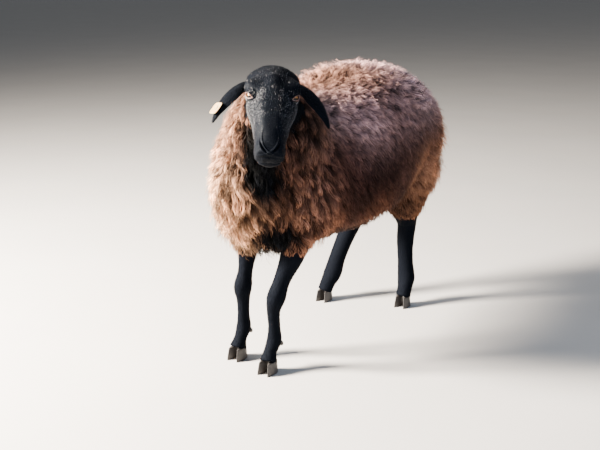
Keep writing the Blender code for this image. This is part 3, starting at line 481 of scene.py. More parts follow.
def grid_arrays(grid, tile=(0.0, 0.0, 1.0, 1.0)):
    """Points, triangles and corner UVs of a closed tube of rings, with a pole at each end. A corner's UV is
    its share round the ring and its share along the rings, inside the tile."""
    rings, sides = grid.shape[:2]
    points = np.concatenate([grid.reshape(-1, 3), [grid[0].mean(axis=0)], [grid[-1].mean(axis=0)]])
    ring, side = np.meshgrid(np.arange(rings - 1), np.arange(sides), indexing="ij")
    ring, side = ring.ravel(), side.ravel()
    after = (side + 1) % sides
    a, b = ring * sides + side, ring * sides + after
    c, d = a + sides, b + sides
    left, right = side / sides, (side + 1) / sides
    low, high = ring / (rings - 1), (ring + 1) / (rings - 1)
    triangles = np.concatenate([np.stack([a, b, d], 1), np.stack([a, d, c], 1)])
    uv = np.concatenate(
        [
            np.stack([left, low, right, low, right, high], 1),
            np.stack([left, low, right, high, left, high], 1),
        ]
    )
    side = np.arange(sides)
    after = (side + 1) % sides
    first, last = np.full(sides, len(points) - 2), np.full(sides, len(points) - 1)
    base = (rings - 1) * sides
    left, right, mid = side / sides, (side + 1) / sides, (side + 0.5) / sides
    zero, one = np.zeros(sides), np.ones(sides)
    triangles = np.concatenate(
        [
            triangles,
            np.stack([first, after, side], 1),
            np.stack([last, base + side, base + after], 1),
        ]
    )
    uv = np.concatenate(
        [
            uv,
            np.stack([mid, zero, right, zero, left, zero], 1),
            np.stack([mid, one, left, one, right, one], 1),
        ]
    )
    uv = uv.reshape(-1, 2) * np.array(tile[2:]) + np.array(tile[:2])
    if inside_out(points[triangles]):
        triangles = triangles[:, ::-1]
        uv = uv.reshape(-1, 3, 2)[:, ::-1].reshape(-1, 2)
    return points, triangles, uv


def shell(name, grid, tile=(0.0, 0.0, 1.0, 1.0)):
    """A closed object from a grid of rings. Its lie map is the place round and along it in metres."""
    points, triangles, uv = grid_arrays(grid, tile)
    girth = np.linalg.norm(np.roll(grid, 1, axis=1) - grid, axis=2).sum(axis=1).mean()
    length = np.linalg.norm(np.diff(grid.mean(axis=1), axis=0), axis=1).sum()
    lie = (uv - np.array(tile[:2])) / np.array(tile[2:]) * (girth, length)
    return new_piece(name, points + SHIFT, triangles, {"OFBake": uv, "lie": lie})


def head_surface():
    """The head in its own frame: the loft from lips to nape with its swellings, mouth, folds, nostrils and
    lids."""
    shares = crowded(232, ((0.62, 0.09, 2.2), (0.03, 0.09, 2.0)))
    quarter = math.asin(0.45) / (2 * math.pi)
    turns = 2 * np.pi * crowded(249, ((quarter, 0.055, 1.6), (0.5 - quarter, 0.055, 1.6)))[:-1]
    grid = raised(loft(HEAD, shares, turns, 2.3, 1.9), HEAD_BUMPS)
    grid = raised(grid, HEAD_DETAIL)
    outward = unit(grid - grid.mean(axis=1, keepdims=True))
    grid = with_mouth(grid, outward)
    grid = with_folds(grid, outward)
    for side in (1, -1):
        grid = with_nostril(grid, side)
        grid = with_lids(grid, side)
    return capped(grid, 0.12, 6)


def mouth_level(y):
    """The height of the mouth's line, which rises to its corner."""
    return MOUTH_HEIGHT + 0.0035 * step_up(y, -0.205, MOUTH_CORNER)


def with_mouth(grid, outward):
    """A groove e^-((z - h)/w)^2 deep round the lips, which rises to the corner, with a fuller lip over and
    under it, and the notch from the nose down to it."""
    x, y, z = grid[..., 0], grid[..., 1], grid[..., 2]
    off = z - mouth_level(y)
    fade = 1 - step_up(y, MOUTH_CORNER - 0.012, MOUTH_CORNER + 0.002)
    groove = 0.0085 * np.exp(-((off / 0.0030) ** 2)) * fade
    lips = np.exp(-(((off - 0.0062) / 0.0030) ** 2)) + np.exp(-(((off + 0.0062) / 0.0030) ** 2))
    lips = 0.0019 * lips * fade
    front = step_up(-y, 0.2180, 0.2265) * step_up(z, MOUTH_HEIGHT - 0.001, MOUTH_HEIGHT + 0.004)
    cleft = 0.0032 * np.exp(-((x / 0.0014) ** 2)) * front * (1 - step_up(z, -0.004, 0.004))
    return grid + outward * (lips - groove - cleft)[..., None]


def with_folds(grid, outward):
    """Shallow folds of skin: sines of the height behind the corner of the mouth and across the muzzle."""
    y, z = grid[..., 1], grid[..., 2]
    cheek = np.exp(-(((y + 0.158) / 0.014) ** 2 + ((z + 0.018) / 0.016) ** 2))
    bend = z - 25.0 * (y + 0.150) ** 2
    folds = 0.0007 * cheek * np.sin(bend * 2 * np.pi / 0.0075)
    nose = np.exp(-(((y + 0.204) / 0.012) ** 2)) * step_up(z, -0.004, 0.012)
    folds += 0.00012 * nose * np.sin((y + 0.204) * 2 * np.pi / 0.0052)
    return grid + outward * folds[..., None]


def with_nostril(grid, side):
    """A comma-shaped slit: points sink where (r/long)^2 + (a/wide)^2 < 1, r along the slit and a across it
    less bend r^2, and a ring round it is raised as the wing of the nostril."""
    mirror = np.array((side, 1.0, 1.0))
    seen = grid * mirror
    runs = unit(np.array(NOSTRIL_RUNS))
    across = unit(np.cross(np.array((0.0, -0.6, 0.8)), runs))
    off = seen - np.array(NOSTRIL_PLACE)
    r, d = off @ runs, off @ np.cross(runs, across)
    a = off @ across - NOSTRIL_BEND * r**2
    near = np.exp(-((d / 0.012) ** 4))
    oval = np.sqrt((r / NOSTRIL_HALF_LONG) ** 2 + (a / NOSTRIL_HALF_WIDE) ** 2)
    sink = NOSTRIL_DEEP * (1 - step_up(oval, 0.30, 1.05)) * near
    wing = 0.0017 * np.exp(-(((oval - 2.10) / 0.70) ** 2)) * near
    inside = unit(np.array((0.008, -0.190, -0.002)) - seen)
    return (seen + inside * (sink - wing)[..., None]) * mirror


def almond(u, v):
    """How far outside the slit of the lids a point is: |v| less the arch high (1 - (u/long)^2)^0.8."""
    high = np.where(v > 0, LID_UPPER_HIGH, LID_LOWER_HIGH)
    arch = high * np.clip(1 - (u / LID_HALF_LONG) ** 2, 0, 1) ** 0.8
    past = np.maximum(np.abs(u) - LID_HALF_LONG, 0)
    return np.hypot(np.abs(v) - arch, past) * np.sign(np.where(past > 0, 1, np.abs(v) - arch))


def with_lids(grid, side):
    """Lids: the skin rises to the smooth maximum of itself and a sphere one lid thicker than the eye, with
    a fold along each lid, and sinks under the eye inside the slit."""
    place = eye_frame(side)
    seen = returned(grid, place)
    u, v, w = seen[..., 0], seen[..., 1], seen[..., 2]
    ball = np.sqrt(np.clip(LID_RADIUS**2 - u**2 - v**2, 0, None))
    front = (w > 0.0) & (np.hypot(u, v) < LID_RADIUS * 1.5)
    soft = 0.0022
    gap = (ball - w) / soft
    merged = w + soft * np.logaddexp(0.0, np.clip(gap, -40, 40))
    near = 1 - step_up(np.hypot(u, v), LID_RADIUS * 1.02, LID_RADIUS * 1.5)
    w_new = w + (merged - w) * near
    edge = almond(u, v)
    upper, lower = step_up(v, -0.001, 0.002), step_up(-v, -0.001, 0.002)
    w_new -= 0.0012 * upper * np.exp(-(((edge - 0.0062) / 0.0012) ** 2))
    w_new -= 0.0009 * lower * np.exp(-(((edge - 0.0052) / 0.0013) ** 2))
    w_new += 0.0008 * np.exp(-(((edge - 0.0030) / 0.0018) ** 2)) * (edge > 0)
    w_new -= 0.0072 * step_up(-edge, -0.0002, 0.0012)
    seen[..., 2] = np.where(front, w_new, w)
    return np.where(front[..., None], carried(seen, place), grid)


def ear_rings(count):
    """The ear's rows at evenly spaced rings, with the ways across each ring and out through its back."""
    rows = along_path(EAR, np.linspace(0.0, 1.0, count))
    along = unit(np.gradient(rows[:, :3], axis=0))
    back = unit(EAR_BACK - (along @ EAR_BACK)[:, None] * along)
    return rows, np.cross(along, back), back


def ear_surface(side, rings=64, arc=27):
    """A cupped leaf. Across a ring s runs from -1 to 1: its height is cup (1 - s^2), more or less half the
    thickness times sqrt(1 - s^2), so the rim is round. Low ridges run along the inside."""
    rows, across, back = ear_rings(rings)
    angle = np.linspace(0.0, 2 * np.pi, 2 * arc, endpoint=False)
    s = np.cos(angle)
    half = np.sin(angle) * 0.5
    wide, cup, thick = rows[:, 3:4], rows[:, 4:5], rows[:, 5:6]
    height = cup * (1 - s**2) + thick * half
    share = np.linspace(0.0, 1.0, rings)[:, None]
    inner = (half < 0) * step_up(share, 0.25, 0.45) * (1 - step_up(share, 0.75, 0.95))
    height = height + 0.0007 * inner * np.cos(s * 2.5 * np.pi) * (1 - s**2)
    wave = 0.0010 * np.sin(share * 9.0 + s * 1.3) * step_up(share, 0.3, 0.6) * s**2
    grid = rows[:, None, :3] + across[:, None] * (wide * s)[..., None]
    grid = grid + back[:, None] * (height + wave)[..., None]
    grid[..., 0] *= side
    return capped(grid, 0.4, 4)


def leg_surface(rows):
    """A leg's loft, pinched in between the cannon bone and the tendon behind it."""
    shares = np.linspace(0.0, 1.0, 92)
    turns = np.linspace(0.0, 2 * np.pi, 36, endpoint=False)
    grid = loft(rows, shares, turns, 2.1, 2.1)
    middle = grid.mean(axis=1, keepdims=True)
    height = grid[..., 2]
    pinch = step_up(height, 0.085, 0.11) * (1 - step_up(height, 0.17, 0.20))
    dent = 0.10 * pinch * np.exp(-(((np.sin(turns) - 0.35) / 0.28) ** 2)) * np.abs(np.cos(turns))
    return capped(middle + (grid - middle) * (1 - dent)[..., None], 0.08, 3)


def joined(name, pieces):
    """One closed object: a Boolean union of pieces that overlap, applied."""
    base, others = pieces[0], pieces[1:]
    group = bpy.data.collections.new(name + "_pieces")
    for piece in others:
        group.objects.link(piece)
    step = base.modifiers.new("union", "BOOLEAN")
    step.operation = "UNION"
    step.operand_type = "COLLECTION"
    step.collection = group
    step.solver = "MANIFOLD"
    graph = bpy.context.evaluated_depsgraph_get()
    mesh = bpy.data.meshes.new_from_object(base.evaluated_get(graph))
    base.modifiers.clear()
    base.data = mesh
    for piece in others:
        bpy.data.objects.remove(piece)
    bpy.data.collections.remove(group)
    base.name = name
    return base


def make_skin():
    """The whole skin in one piece: head, ears, neck, trunk, tail cushion and legs, each with a UV tile."""
    even = np.linspace(0.0, 1.0, 60)
    round_turns = np.linspace(0.0, 2 * np.pi, 64, endpoint=False)
    mirror = TAIL_LOBE * np.array((-1, 1, 1, 1, 1, 1))
    pieces = [
        shell("skin", carried(head_surface(), HEAD_FRAME), (0.01, 0.51, 0.48, 0.48)),
        shell("ear_left_skin", carried(ear_surface(1), HEAD_FRAME), (0.01, 0.41, 0.18, 0.08)),
        shell("ear_right_skin", carried(ear_surface(-1), HEAD_FRAME), (0.21, 0.41, 0.18, 0.08)),
        shell("neck_skin", capped(loft(NECK, even[::2], round_turns)), (0.01, 0.21, 0.38, 0.18)),
        shell("trunk_skin", capped(loft(TRUNK, even, round_turns, 2.2, 2.2)), (0.51, 0.41, 0.48, 0.58)),
        shell("lobe_left", capped(loft(TAIL_LOBE, even[::3], round_turns[::2])), (0.41, 0.31, 0.09, 0.09)),
        shell("lobe_right", capped(loft(mirror, even[::3], round_turns[::2])), (0.41, 0.21, 0.09, 0.09)),
    ]
    for k, (name, rows) in enumerate(LEGS.items()):
        pieces.append(shell(name + "_skin", leg_surface(rows), (0.01 + 0.245 * k, 0.01, 0.225, 0.18)))
    return joined("skin", pieces)


def read(layer, key, size, kind=np.float32):
    """All the values of a mesh layer, size numbers for each element."""
    values = np.empty(len(layer) * size, kind)
    layer.foreach_get(key, values)
    return values.reshape(-1, size)


def skin_arrays(skin):
    """The skin's points, triangles, normals at points and UVs at corners, in the body's coordinates."""
    mesh = skin.data
    mesh.calc_loop_triangles()
    loops = read(mesh.loop_triangles, "loops", 3, np.int32)
    return (
        read(mesh.vertices, "co", 3).astype(float) - SHIFT,
        read(mesh.loop_triangles, "vertices", 3, np.int32),
        read(mesh.vertices, "normal", 3).astype(float),
        read(mesh.uv_layers["OFBake"].data, "uv", 2)[loops].astype(float),
    )


def wool_share(points):
    """How much wool grows at each point: 0 on the head and bare legs, rising to 1 in the 4.5 cm past the
    edge of the skull and the 5 cm past the edges on the legs."""
    local = returned(points, HEAD_FRAME)
    past_poll = local[:, 1] - 0.010 - 0.035 * step_up(local[:, 2], -0.05, 0.0)
    past_skull = np.maximum(past_poll, -local[:, 2] - 0.080)
    past_skull = np.maximum(past_skull, np.abs(local[:, 0]) - 0.14)
    fore_edge = np.where(points[:, 0] > 0, LEFT_WOOL_EDGE, RIGHT_WOOL_EDGE)
    past_leg = points[:, 2] - np.where(points[:, 1] < 0, fore_edge, HIND_WOOL_EDGE)
    return np.clip(np.minimum(past_skull / 0.045, past_leg / 0.050), 0.0, 1.0)


def inside_patch(points, patch):
    """1 inside the ellipsoid with a patch's middle and half sizes, fading to 0 across its surface."""
    far = np.linalg.norm((points - np.array(patch[:3])) / np.array(patch[3:]), axis=1)
    return 1 - step_up(far, 0.75, 1.15)


def coat_colour_and_shade(points):
    """The mean of the coat colours, which hold painted light and shade, each weighted by e^-(d^2 / 2 reach^2)
    at its place, and black in ellipsoids under the throat and at the brisket, partly black wool and partly
    painted shade, and between the legs."""
    off = points[:, None] - COAT_COLOURS[None, :, :3]
    weight = np.exp(-(off**2).sum(axis=-1) / (2 * COAT_COLOURS[:, 3] ** 2)) + 1e-9
    colour = (weight[..., None] * COAT_COLOURS[None, :, 4:]).sum(axis=1) / weight.sum(axis=1)[:, None]
    inner = (1 - step_up(np.abs(points[:, 0]), 0.05, 0.10)) * (1 - step_up(points[:, 2], 0.33, 0.40))
    inner *= step_up(points[:, 1], -0.36, -0.30)
    # The throat's and brisket's black: partly black wool, partly painted shade under the head and between the
    # fore legs
    patches = [inside_patch(points, patch) for patch in (THROAT, BRISKET)]
    dark = np.maximum.reduce([inner, *patches])[:, None]
    return colour * (1 - dark) + BLACK_HAIR * dark


def even_roots(skin_data, spacing, keep, seed):
    """Places spread evenly over the skin: seeded throws, each kept if no kept one is nearer than spacing.
    Gives the place, the normal and the UV of each."""
    points, triangles, normals, uv = skin_data
    a, b, c = (points[triangles[:, k]] for k in range(3))
    area = np.linalg.norm(np.cross(b - a, c - a), axis=1) / 2
    middle = (a + b + c) / 3
    area = area * keep(middle)
    draw = np.random.default_rng(seed)
    count = int(area.sum() / spacing**2 * 3.2)
    chosen = draw.choice(len(area), count, p=area / area.sum())
    first, second = draw.random((2, count))
    over = first + second > 1
    first, second = np.where(over, 1 - first, first), np.where(over, 1 - second, second)
    share = np.stack([1 - first - second, first, second], axis=1)[..., None]
    places = (points[triangles[chosen]] * share).sum(axis=1)
    cells = np.floor(places / spacing).astype(int)
    kept, grid = [], {}
    reach = [(i, j, k) for i in (-1, 0, 1) for j in (-1, 0, 1) for k in (-1, 0, 1)]
    limit = spacing**2
    for at, (place, cell) in enumerate(zip(places.tolist(), cells.tolist())):
        near = (
            other
            for i, j, k in reach
            for other in grid.get((cell[0] + i, cell[1] + j, cell[2] + k), ())
        )
        if all(
            (place[0] - o[0]) ** 2 + (place[1] - o[1]) ** 2 + (place[2] - o[2]) ** 2 > limit for o in near
        ):
            kept.append(at)
            grid.setdefault(tuple(cell), []).append(place)
    share, chosen = share[kept], chosen[kept]
    return (
        places[kept],
        unit((normals[triangles[chosen]] * share).sum(axis=1)),
        (uv[chosen] * share).sum(axis=1),
    )


def coat_lie(points, normals):
    """The way the wool lies: down, a little back and away from the spine, kept along the skin."""
    outwards = 0.35 * np.tanh(points[:, 0] / 0.05)
    back = np.where(points[:, 1] < -0.25, 0.12, 0.55)
    lie = np.stack([outwards, back, np.full(len(points), -1.0)], axis=1)
    return unit(lie - (lie * normals).sum(axis=1, keepdims=True) * normals)


def fleece_depth(points):
    """How high the fleece stands at each point: 1 plus each share times its e^-(d^2 / 2 reach^2)."""
    off = points[:, None] - FLEECE_DEPTHS[None, :, :3]
    bell = np.exp(-(off**2).sum(axis=-1) / (2 * FLEECE_DEPTHS[:, 3] ** 2))
    return 1 + (bell * FLEECE_DEPTHS[:, 4]).sum(axis=1)


def strand_piece(name, centres, radii, tints, tips, patches):
    """Closed tapered strands. centres is strands by rings by 3: each ring is a triangle of three points
    round its centre, square to the strand, the last ring is drawn to a point and the first has a base."""
    count, rings = centres.shape[:2]
    along = unit(np.gradient(centres, axis=1))
    helper = np.where(np.abs(along[..., 2:3]) > 0.9, np.array((1.0, 0.0, 0.0)), np.array((0.0, 0.0, 1.0)))
    across = unit(np.cross(along, helper))
    over = np.cross(across, along)
    body = centres[:, :-1]
    angle = np.array((0.0, 2.0, 4.0)) * np.pi / 3
    turned = across[:, :-1, None] * np.cos(angle)[:, None] + over[:, :-1, None] * np.sin(angle)[:, None]
    wall = body[:, :, None] + turned * radii[:, :-1, None, None]
    points = np.concatenate([wall.reshape(count, -1, 3), centres[:, -1:]], axis=1)
    per = points.shape[1]
    faces = [(0, 2, 1)]
    for low in range(0, 3 * (rings - 2), 3):
        for k in range(3):
            after = (k + 1) % 3
            faces += [(low + k, low + after, low + 3 + after), (low + k, low + 3 + after, low + 3 + k)]
    top = 3 * (rings - 2)
    faces += [(top + k, top + (k + 1) % 3, per - 1) for k in range(3)]
    faces = np.array(faces)
    triangles = (faces[None] + np.arange(count)[:, None, None] * per).reshape(-1, 3)
    if inside_out(points[0][faces] - points[0][0]):
        triangles = triangles[:, ::-1]
    tip = np.concatenate([np.repeat(tips[:, :-1], 3, axis=1), tips[:, -1:]], axis=1)
    local = np.empty((per, 2))
    local[:, 0] = np.append(np.tile((0.0, 0.5, 1.0), rings - 1), 0.5)
    local[:, 1] = np.append(np.repeat(np.linspace(0.0, 1.0, rings)[:-1], 3), 1.0)
    uv = patches[:, None] + (local[None] - 0.5) * 0.003
    return new_piece(
        name,
        points.reshape(-1, 3) + SHIFT,
        triangles,
        {"OFBake": uv.reshape(-1, 2)[triangles.ravel()]},
        {"tint": np.repeat(tints, per, axis=0), "tip": tip.ravel()},
    )


def nearest(places, centres):
    """For each place, the way to the nearest of the centres."""
    found = np.empty(len(places), int)
    for low in range(0, len(places), 500):
        off = places[low : low + 500, None] - centres[None]
        found[low : low + 500] = (off**2).sum(axis=-1).argmin(axis=1)
    return centres[found] - places


def lock_strands(roots, look, tufts, seed):
    """The strands of the wool's locks. Each strand of a lock starts at a place round the lock's root, runs
    along the lie while it rises as height (1 - e^-3t), and is drawn to the lock's middle by gather t^1.1.
    It waves sideways by curl t^0.6 sin(2 pi turns t + phase), with nearly one phase for all strands of a
    lock, and droops as t^2. Locks that share a tuft lean together by clump t^1.5. About one strand in seven is
    thinner and strays out of its lock."""
    places, normals, patches = roots
    draw = np.random.default_rng(seed)
    count, per, rings = len(places), look["strands"], look["rings"]
    grown = wool_share(places)
    lies = coat_lie(places, normals)
    swing = draw.normal(0.0, look["swing"], count)[:, None]
    lies = unit(lies + np.cross(normals, lies) * swing)
    sides = np.cross(lies, normals)
    size = (0.35 + 0.65 * grown) * draw.uniform(0.78, 1.22, count)
    angle = draw.uniform(0, 2 * np.pi, (count, per))
    radius = look["spread"] * np.sqrt(draw.uniform(0.02, 1.0, (count, per)))
    offset = lies[:, None] * (np.cos(angle) * radius)[..., None]
    offset = offset + sides[:, None] * (np.sin(angle) * radius)[..., None]
    t = np.linspace(0.0, 1.0, rings)[None, None]
    length = look["length"] * size[:, None] * draw.uniform(0.72, 1.18, (count, per))
    tall = look["height"] * (0.45 + 0.55 * grown) * fleece_depth(places)
    height = tall[:, None] * draw.uniform(0.45, 1.15, (count, per))
    phase = draw.uniform(0, 2 * np.pi, (count, 1)) + draw.normal(0, 0.45, (count, per))
    turns = look["turns"] * draw.uniform(0.75, 1.25, (count, 1))
    curl = look["curl"] * size[:, None] * draw.uniform(0.6, 1.3, (count, per))
    wave = curl[..., None] * np.sin(2 * np.pi * turns[..., None] * t + phase[..., None]) * t**0.6
    lift = curl[..., None] * 0.7 * np.cos(2 * np.pi * turns[..., None] * t + phase[..., None]) * t**0.6
    stray = (draw.random((count, per)) < 0.15)[..., None]
    rise = height[..., None] * np.where(stray, 1.3, 1.0) * (1 - np.exp(-3.0 * t)) - 0.003 + lift
    run = length[..., None] * (t - 0.30)
    droop = look["droop"] * length[..., None] * t**2
    to_tuft = nearest(places, tufts)
    apart = np.linalg.norm(to_tuft, axis=1) / TUFT_SPACING
    leaning = look["clump"] * to_tuft
    drawn = np.where(stray, 1 + 0.6 * t, 1 - look["gather"] * t**1.1)
    centres = (
        places[:, None, None]
        + offset[:, :, None] * drawn[..., None]
        + lies[:, None, None] * run[..., None]
        + normals[:, None, None] * rise[..., None]
        + sides[:, None, None] * wave[..., None]
        + leaning[:, None, None] * (t**1.5)[..., None]
    )
    centres[..., 2] -= droop
    taper = np.array((0.75, 1.0, 1.0, 0.85, 0.62, 0.40, 0.2))
    taper = np.interp(np.linspace(0, 1, rings), np.linspace(0, 1, len(taper)), taper)
    thick = look["radius"] * draw.uniform(0.8, 1.2, (count, per))
    radii = thick[..., None] * np.where(stray, 0.55, 1.0) * taper
    tint = coat_colour_and_shade(places)[:, None] * draw.uniform(0.78, 1.22, (count, 1, 1))
    # Painted shade and light: strands far from their tuft's middle are darkened, down to a quarter, like shade
    # in the gaps between tufts, and those near it lightened, by the look's clump
    tint = tint * np.clip(1 + 3.4 * look["clump"] * (0.42 - apart), 0.25, None)[:, None, None]
    tint = tint * draw.uniform(0.82, 1.18, (count, per, 1))
    tips = np.broadcast_to(t, (count, per, rings))
    return (
        centres.reshape(-1, rings, 3),
        radii.reshape(-1, rings),
        tint.reshape(-1, 3),
        tips.reshape(-1, rings),
        np.repeat(patches, per, axis=0),
    )


CHEST_LOOK = dict(strands=14, rings=5, spread=0.0080, length=0.044, height=0.026, turns=1.2, curl=0.0040,
                  swing=0.34, droop=0.06, gather=0.66, radius=0.00082, clump=0.70)
FLANK_LOOK = dict(strands=18, rings=3, spread=0.0095, length=0.034, height=0.019, turns=0.4, curl=0.0012,
                  swing=0.22, droop=0.02, gather=0.40, radius=0.00082, clump=0.16)
RUMP_LOOK = dict(strands=18, rings=3, spread=0.0095, length=0.036, height=0.024, turns=0.4, curl=0.0016,
                 swing=0.28, droop=0.02, gather=0.46, radius=0.00082, clump=0.26)
BACK_LOOK = dict(strands=13, rings=5, spread=0.0080, length=0.032, height=0.028, turns=1.3, curl=0.0050,
                 swing=0.70, droop=0.00, gather=0.70, radius=0.00085, clump=0.50)
BELLY_LOOK = dict(strands=9, rings=3, spread=0.0095, length=0.036, height=0.014, turns=0.4, curl=0.0016,
                  swing=0.25, droop=0.05, gather=0.50, radius=0.00105, clump=0.30)
WOOL_SPACING, TUFT_SPACING = 0.0098, 0.022
# The parts of the coat, in the order of coat_regions' numbers
WOOL_PARTS = (
    ("wool_neck", CHEST_LOOK),
    ("wool_chest", CHEST_LOOK),
    ("wool_back", BACK_LOOK),
    ("wool_left", FLANK_LOOK),
    ("wool_right", FLANK_LOOK),
    ("wool_rump", RUMP_LOOK),
    ("wool_belly", BELLY_LOOK),
)
# The most triangles in one piece
PIECE_LIMIT = 195000


def coat_regions(places):
    """Which part of the coat each root is in: 0 neck, 1 chest, 2 back, 3 left, 4 right, 5 rump, 6 belly.
    The borders of the back and the rump are uneven by 3 cm, so that their locks mingle."""
    x, y, z = places.T
    uneven = 0.03 * np.sin(places @ np.array((911.0, 773.0, 857.0)))
    region = np.where(x > 0, 3, 4)
    region = np.where(y + uneven > 0.34, 5, region)
    region = np.where((z + uneven > 0.655) & (y > -0.26), 2, region)
    region = np.where((z < 0.375) & (y > -0.34), 6, region)
    region = np.where((y < -0.215) & (z > 0.375), 1, region)
    near_head = np.linalg.norm(places - np.array(HEAD_PLACE), axis=1)
    return np.where((near_head < 0.235) & (y < -0.2), 0, region)


def woolly(points):
    """True where locks grow."""
    return wool_share(points) > 0.02


def make_wool(skin_data):
    """All the wool, an object or more for each part of the coat, so that none passes the limit."""
    places, normals, patches = even_roots(skin_data, WOOL_SPACING, woolly, SEED)
    tufts = even_roots(skin_data, TUFT_SPACING, woolly, SEED + 90)[0]
    region = coat_regions(places)
    made = []
    for number, (name, look) in enumerate(WOOL_PARTS):
        pick = region == number
        strands = lock_strands((places[pick], normals[pick], patches[pick]), look, tufts, SEED + number + 1)
        total = len(strands[0])
        each = 6 * (look["rings"] - 2) + 4
        parts = math.ceil(total * each / PIECE_LIMIT)
        for k, share in enumerate(np.array_split(np.arange(total), parts)):
            title = name if parts == 1 else f"{name}_{k + 1}"
            made.append(strand_piece(title, *(values[share] for values in strands)))
    return made


def hair_lie(points, normals):
    """The way the short hair lies: from the nose back over the face, out along the ears, down the legs."""
    local = returned(points, HEAD_FRAME)
    on_head = (local[:, 1] < 0.06) & (local[:, 2] > -0.10) & (points[:, 2] > HEAD_FLOOR)
    on_ear = np.abs(local[:, :1]) > 0.060
    mirror = np.where(local[:, :1] < 0, (-1.0, 1.0, 1.0), (1.0, 1.0, 1.0))
    head_way = np.where(on_ear, np.array((0.55, -0.75, -0.25)) * mirror, (0.0, 1.0, -0.25))
    head_way = head_way @ np.array(HEAD_FRAME.to_3x3()).T
    lie = np.where(on_head[:, None], head_way, np.array((0.0, 0.10, -1.0)))
    return unit(lie - (lie * normals).sum(axis=1, keepdims=True) * normals)


def hair_tint(points, draw):
    """Black hair, and which hairs are pale, painted glints of light on the glossy hair: some over the
    forehead, more on the cheeks, none on the nose. Of cells one SPECKLE wide, by a hash of the cell, half have
    twice the share of pale hairs and half none."""
    local = returned(points, HEAD_FRAME)
    aside = np.abs(local[:, 0])
    # The share of pale hairs, painted glints of light, most on the cheeks
    grey = step_up(local[:, 1], -0.21, -0.11) * step_up(local[:, 2], -0.05, -0.01) * (aside < 0.065)
    cheek = step_up(aside, 0.010, 0.024) * step_up(-local[:, 1], 0.065, 0.090)
    grey *= 0.055 + 0.85 * cheek
    cell = np.floor(points / SPECKLE) @ np.array((12.99, 78.23, 37.72))
    grey *= 2.0 * (np.modf(np.abs(np.sin(cell)) * 4375.5)[0] > 0.5)
    is_glint = draw.random(len(points)) < grey * (points[:, 2] > HEAD_FLOOR)
    base = BLACK_HAIR * draw.uniform(0.6, 1.6, (len(points), 1))
    pale = GLINT_HAIR * draw.uniform(0.15, 1.1, (len(points), 1))
    return np.where(is_glint[:, None], pale, base), is_glint


def hair_room(points):
    """True where short hair grows: off the wool, the nose pad and the slits of the eyes."""
    local = returned(points, HEAD_FRAME)
    bare = (local[:, 1] < -0.2170) & (local[:, 2] > -0.014) & (np.abs(local[:, 0]) < 0.017)
    bare |= (local[:, 1] < MOUTH_CORNER) & (np.abs(local[:, 2] - mouth_level(local[:, 1])) < 0.0034)
    bare |= (local[:, 1] < -0.2100) & (local[:, 2] < 0.0) & (np.abs(local[:, 0]) < 0.0024)
    for side in (1, -1):
        seen = returned(local, eye_frame(side))
        edge = almond(seen[:, 0], seen[:, 1])
        bare |= (edge < 0.0020) & (seen[:, 2] > 0.0)
    return (wool_share(points) < 0.8) & ~bare & (points[:, 2] > 0.033)


def make_hair(name, skin_data, spacing, high):
    """Short hair above or below the foot of the head: tufts of ten triangles that lie close along the skin,
    finest on the nose."""

    def room(points):
        """1 where this hair grows, 0 elsewhere."""
        return (hair_room(points) & ((points[:, 2] > HEAD_FLOOR) == high)).astype(float)

    places, normals, patches = even_roots(skin_data, spacing, room, SEED + 50 + high)
    draw = np.random.default_rng(SEED + 60 + high)
    count = len(places)
    lies = hair_lie(places, normals)
    lies = unit(lies + np.cross(normals, lies) * draw.normal(0, 0.30, count)[:, None])
    behind = returned(places, HEAD_FRAME)[:, 1]
    fine = 0.50 + 0.50 * step_up(behind, -0.22, -0.05) if high else np.ones(count)
    length = (0.0058 if high else 0.0085) * fine * draw.uniform(0.7, 1.3, count)
    length *= 1 + high * step_up(behind, -0.03, 0.03)
    t = np.array((0.0, 0.5, 1.0))[None, :, None]
    rise = np.array((-0.0006, 0.0004, 0.0007))[None, :, None] * draw.uniform(0.6, 1.5, count)[:, None, None]
    centres = places[:, None] + lies[:, None] * t * length[:, None, None] + normals[:, None] * rise
    # Black hair, and pale hairs that are painted glints of light
    tints, is_glint = hair_tint(places, draw)
    thick = (0.00028 if high else 0.00034) * (np.where(is_glint, 0.7, 1.0) * fine)[:, None]
    radii = thick * np.array((1.0, 0.8, 0.1)) * draw.uniform(0.8, 1.2, (count, 1))
    return strand_piece(name, centres, radii, tints, np.broadcast_to(t[..., 0], (count, 3)), patches)


def lid_rim(name, side):
    """The moist edge of the lids: a tube whose middle follows the slit on the lid's sphere, 2 mm thick."""
    a = np.linspace(0.0, 2 * np.pi, 96, endpoint=False)
    u = LID_HALF_LONG * np.cos(a)
    v = np.where(a < np.pi, LID_UPPER_HIGH, LID_LOWER_HIGH) * signed_power(np.sin(a), 1.6)
    w = np.sqrt(LID_RADIUS**2 - u**2 - v**2) - 0.0007
    path = np.stack([u, v, w], axis=1)
    along = unit(np.roll(path, -1, axis=0) - np.roll(path, 1, axis=0))
    out = unit(path)
    across = np.cross(along, out)
    b = np.linspace(0.0, 2 * np.pi, 12, endpoint=False)
    heavy = np.where(v > 0, 0.0011, 0.0009)[:, None, None]
    ring = across[:, None] * np.cos(b)[None, :, None] + out[:, None] * np.sin(b)[None, :, None]
    grid = path[:, None] + ring * heavy
    rings, sides = grid.shape[:2]
    i, j = np.meshgrid(np.arange(rings), np.arange(sides), indexing="ij")
    i, j = i.ravel(), j.ravel()
    p, q = i * sides + j, i * sides + (j + 1) % sides
    r, s = ((i + 1) % rings) * sides + j, ((i + 1) % rings) * sides + (j + 1) % sides
    triangles = np.concatenate([np.stack([p, q, s], 1), np.stack([p, s, r], 1)])
    points = carried(carried(grid.reshape(-1, 3), eye_frame(side)), HEAD_FRAME)
    if inside_out(points[triangles] - points.mean(axis=0)):
        triangles = triangles[:, ::-1]
    return new_piece(name, points + SHIFT, triangles)


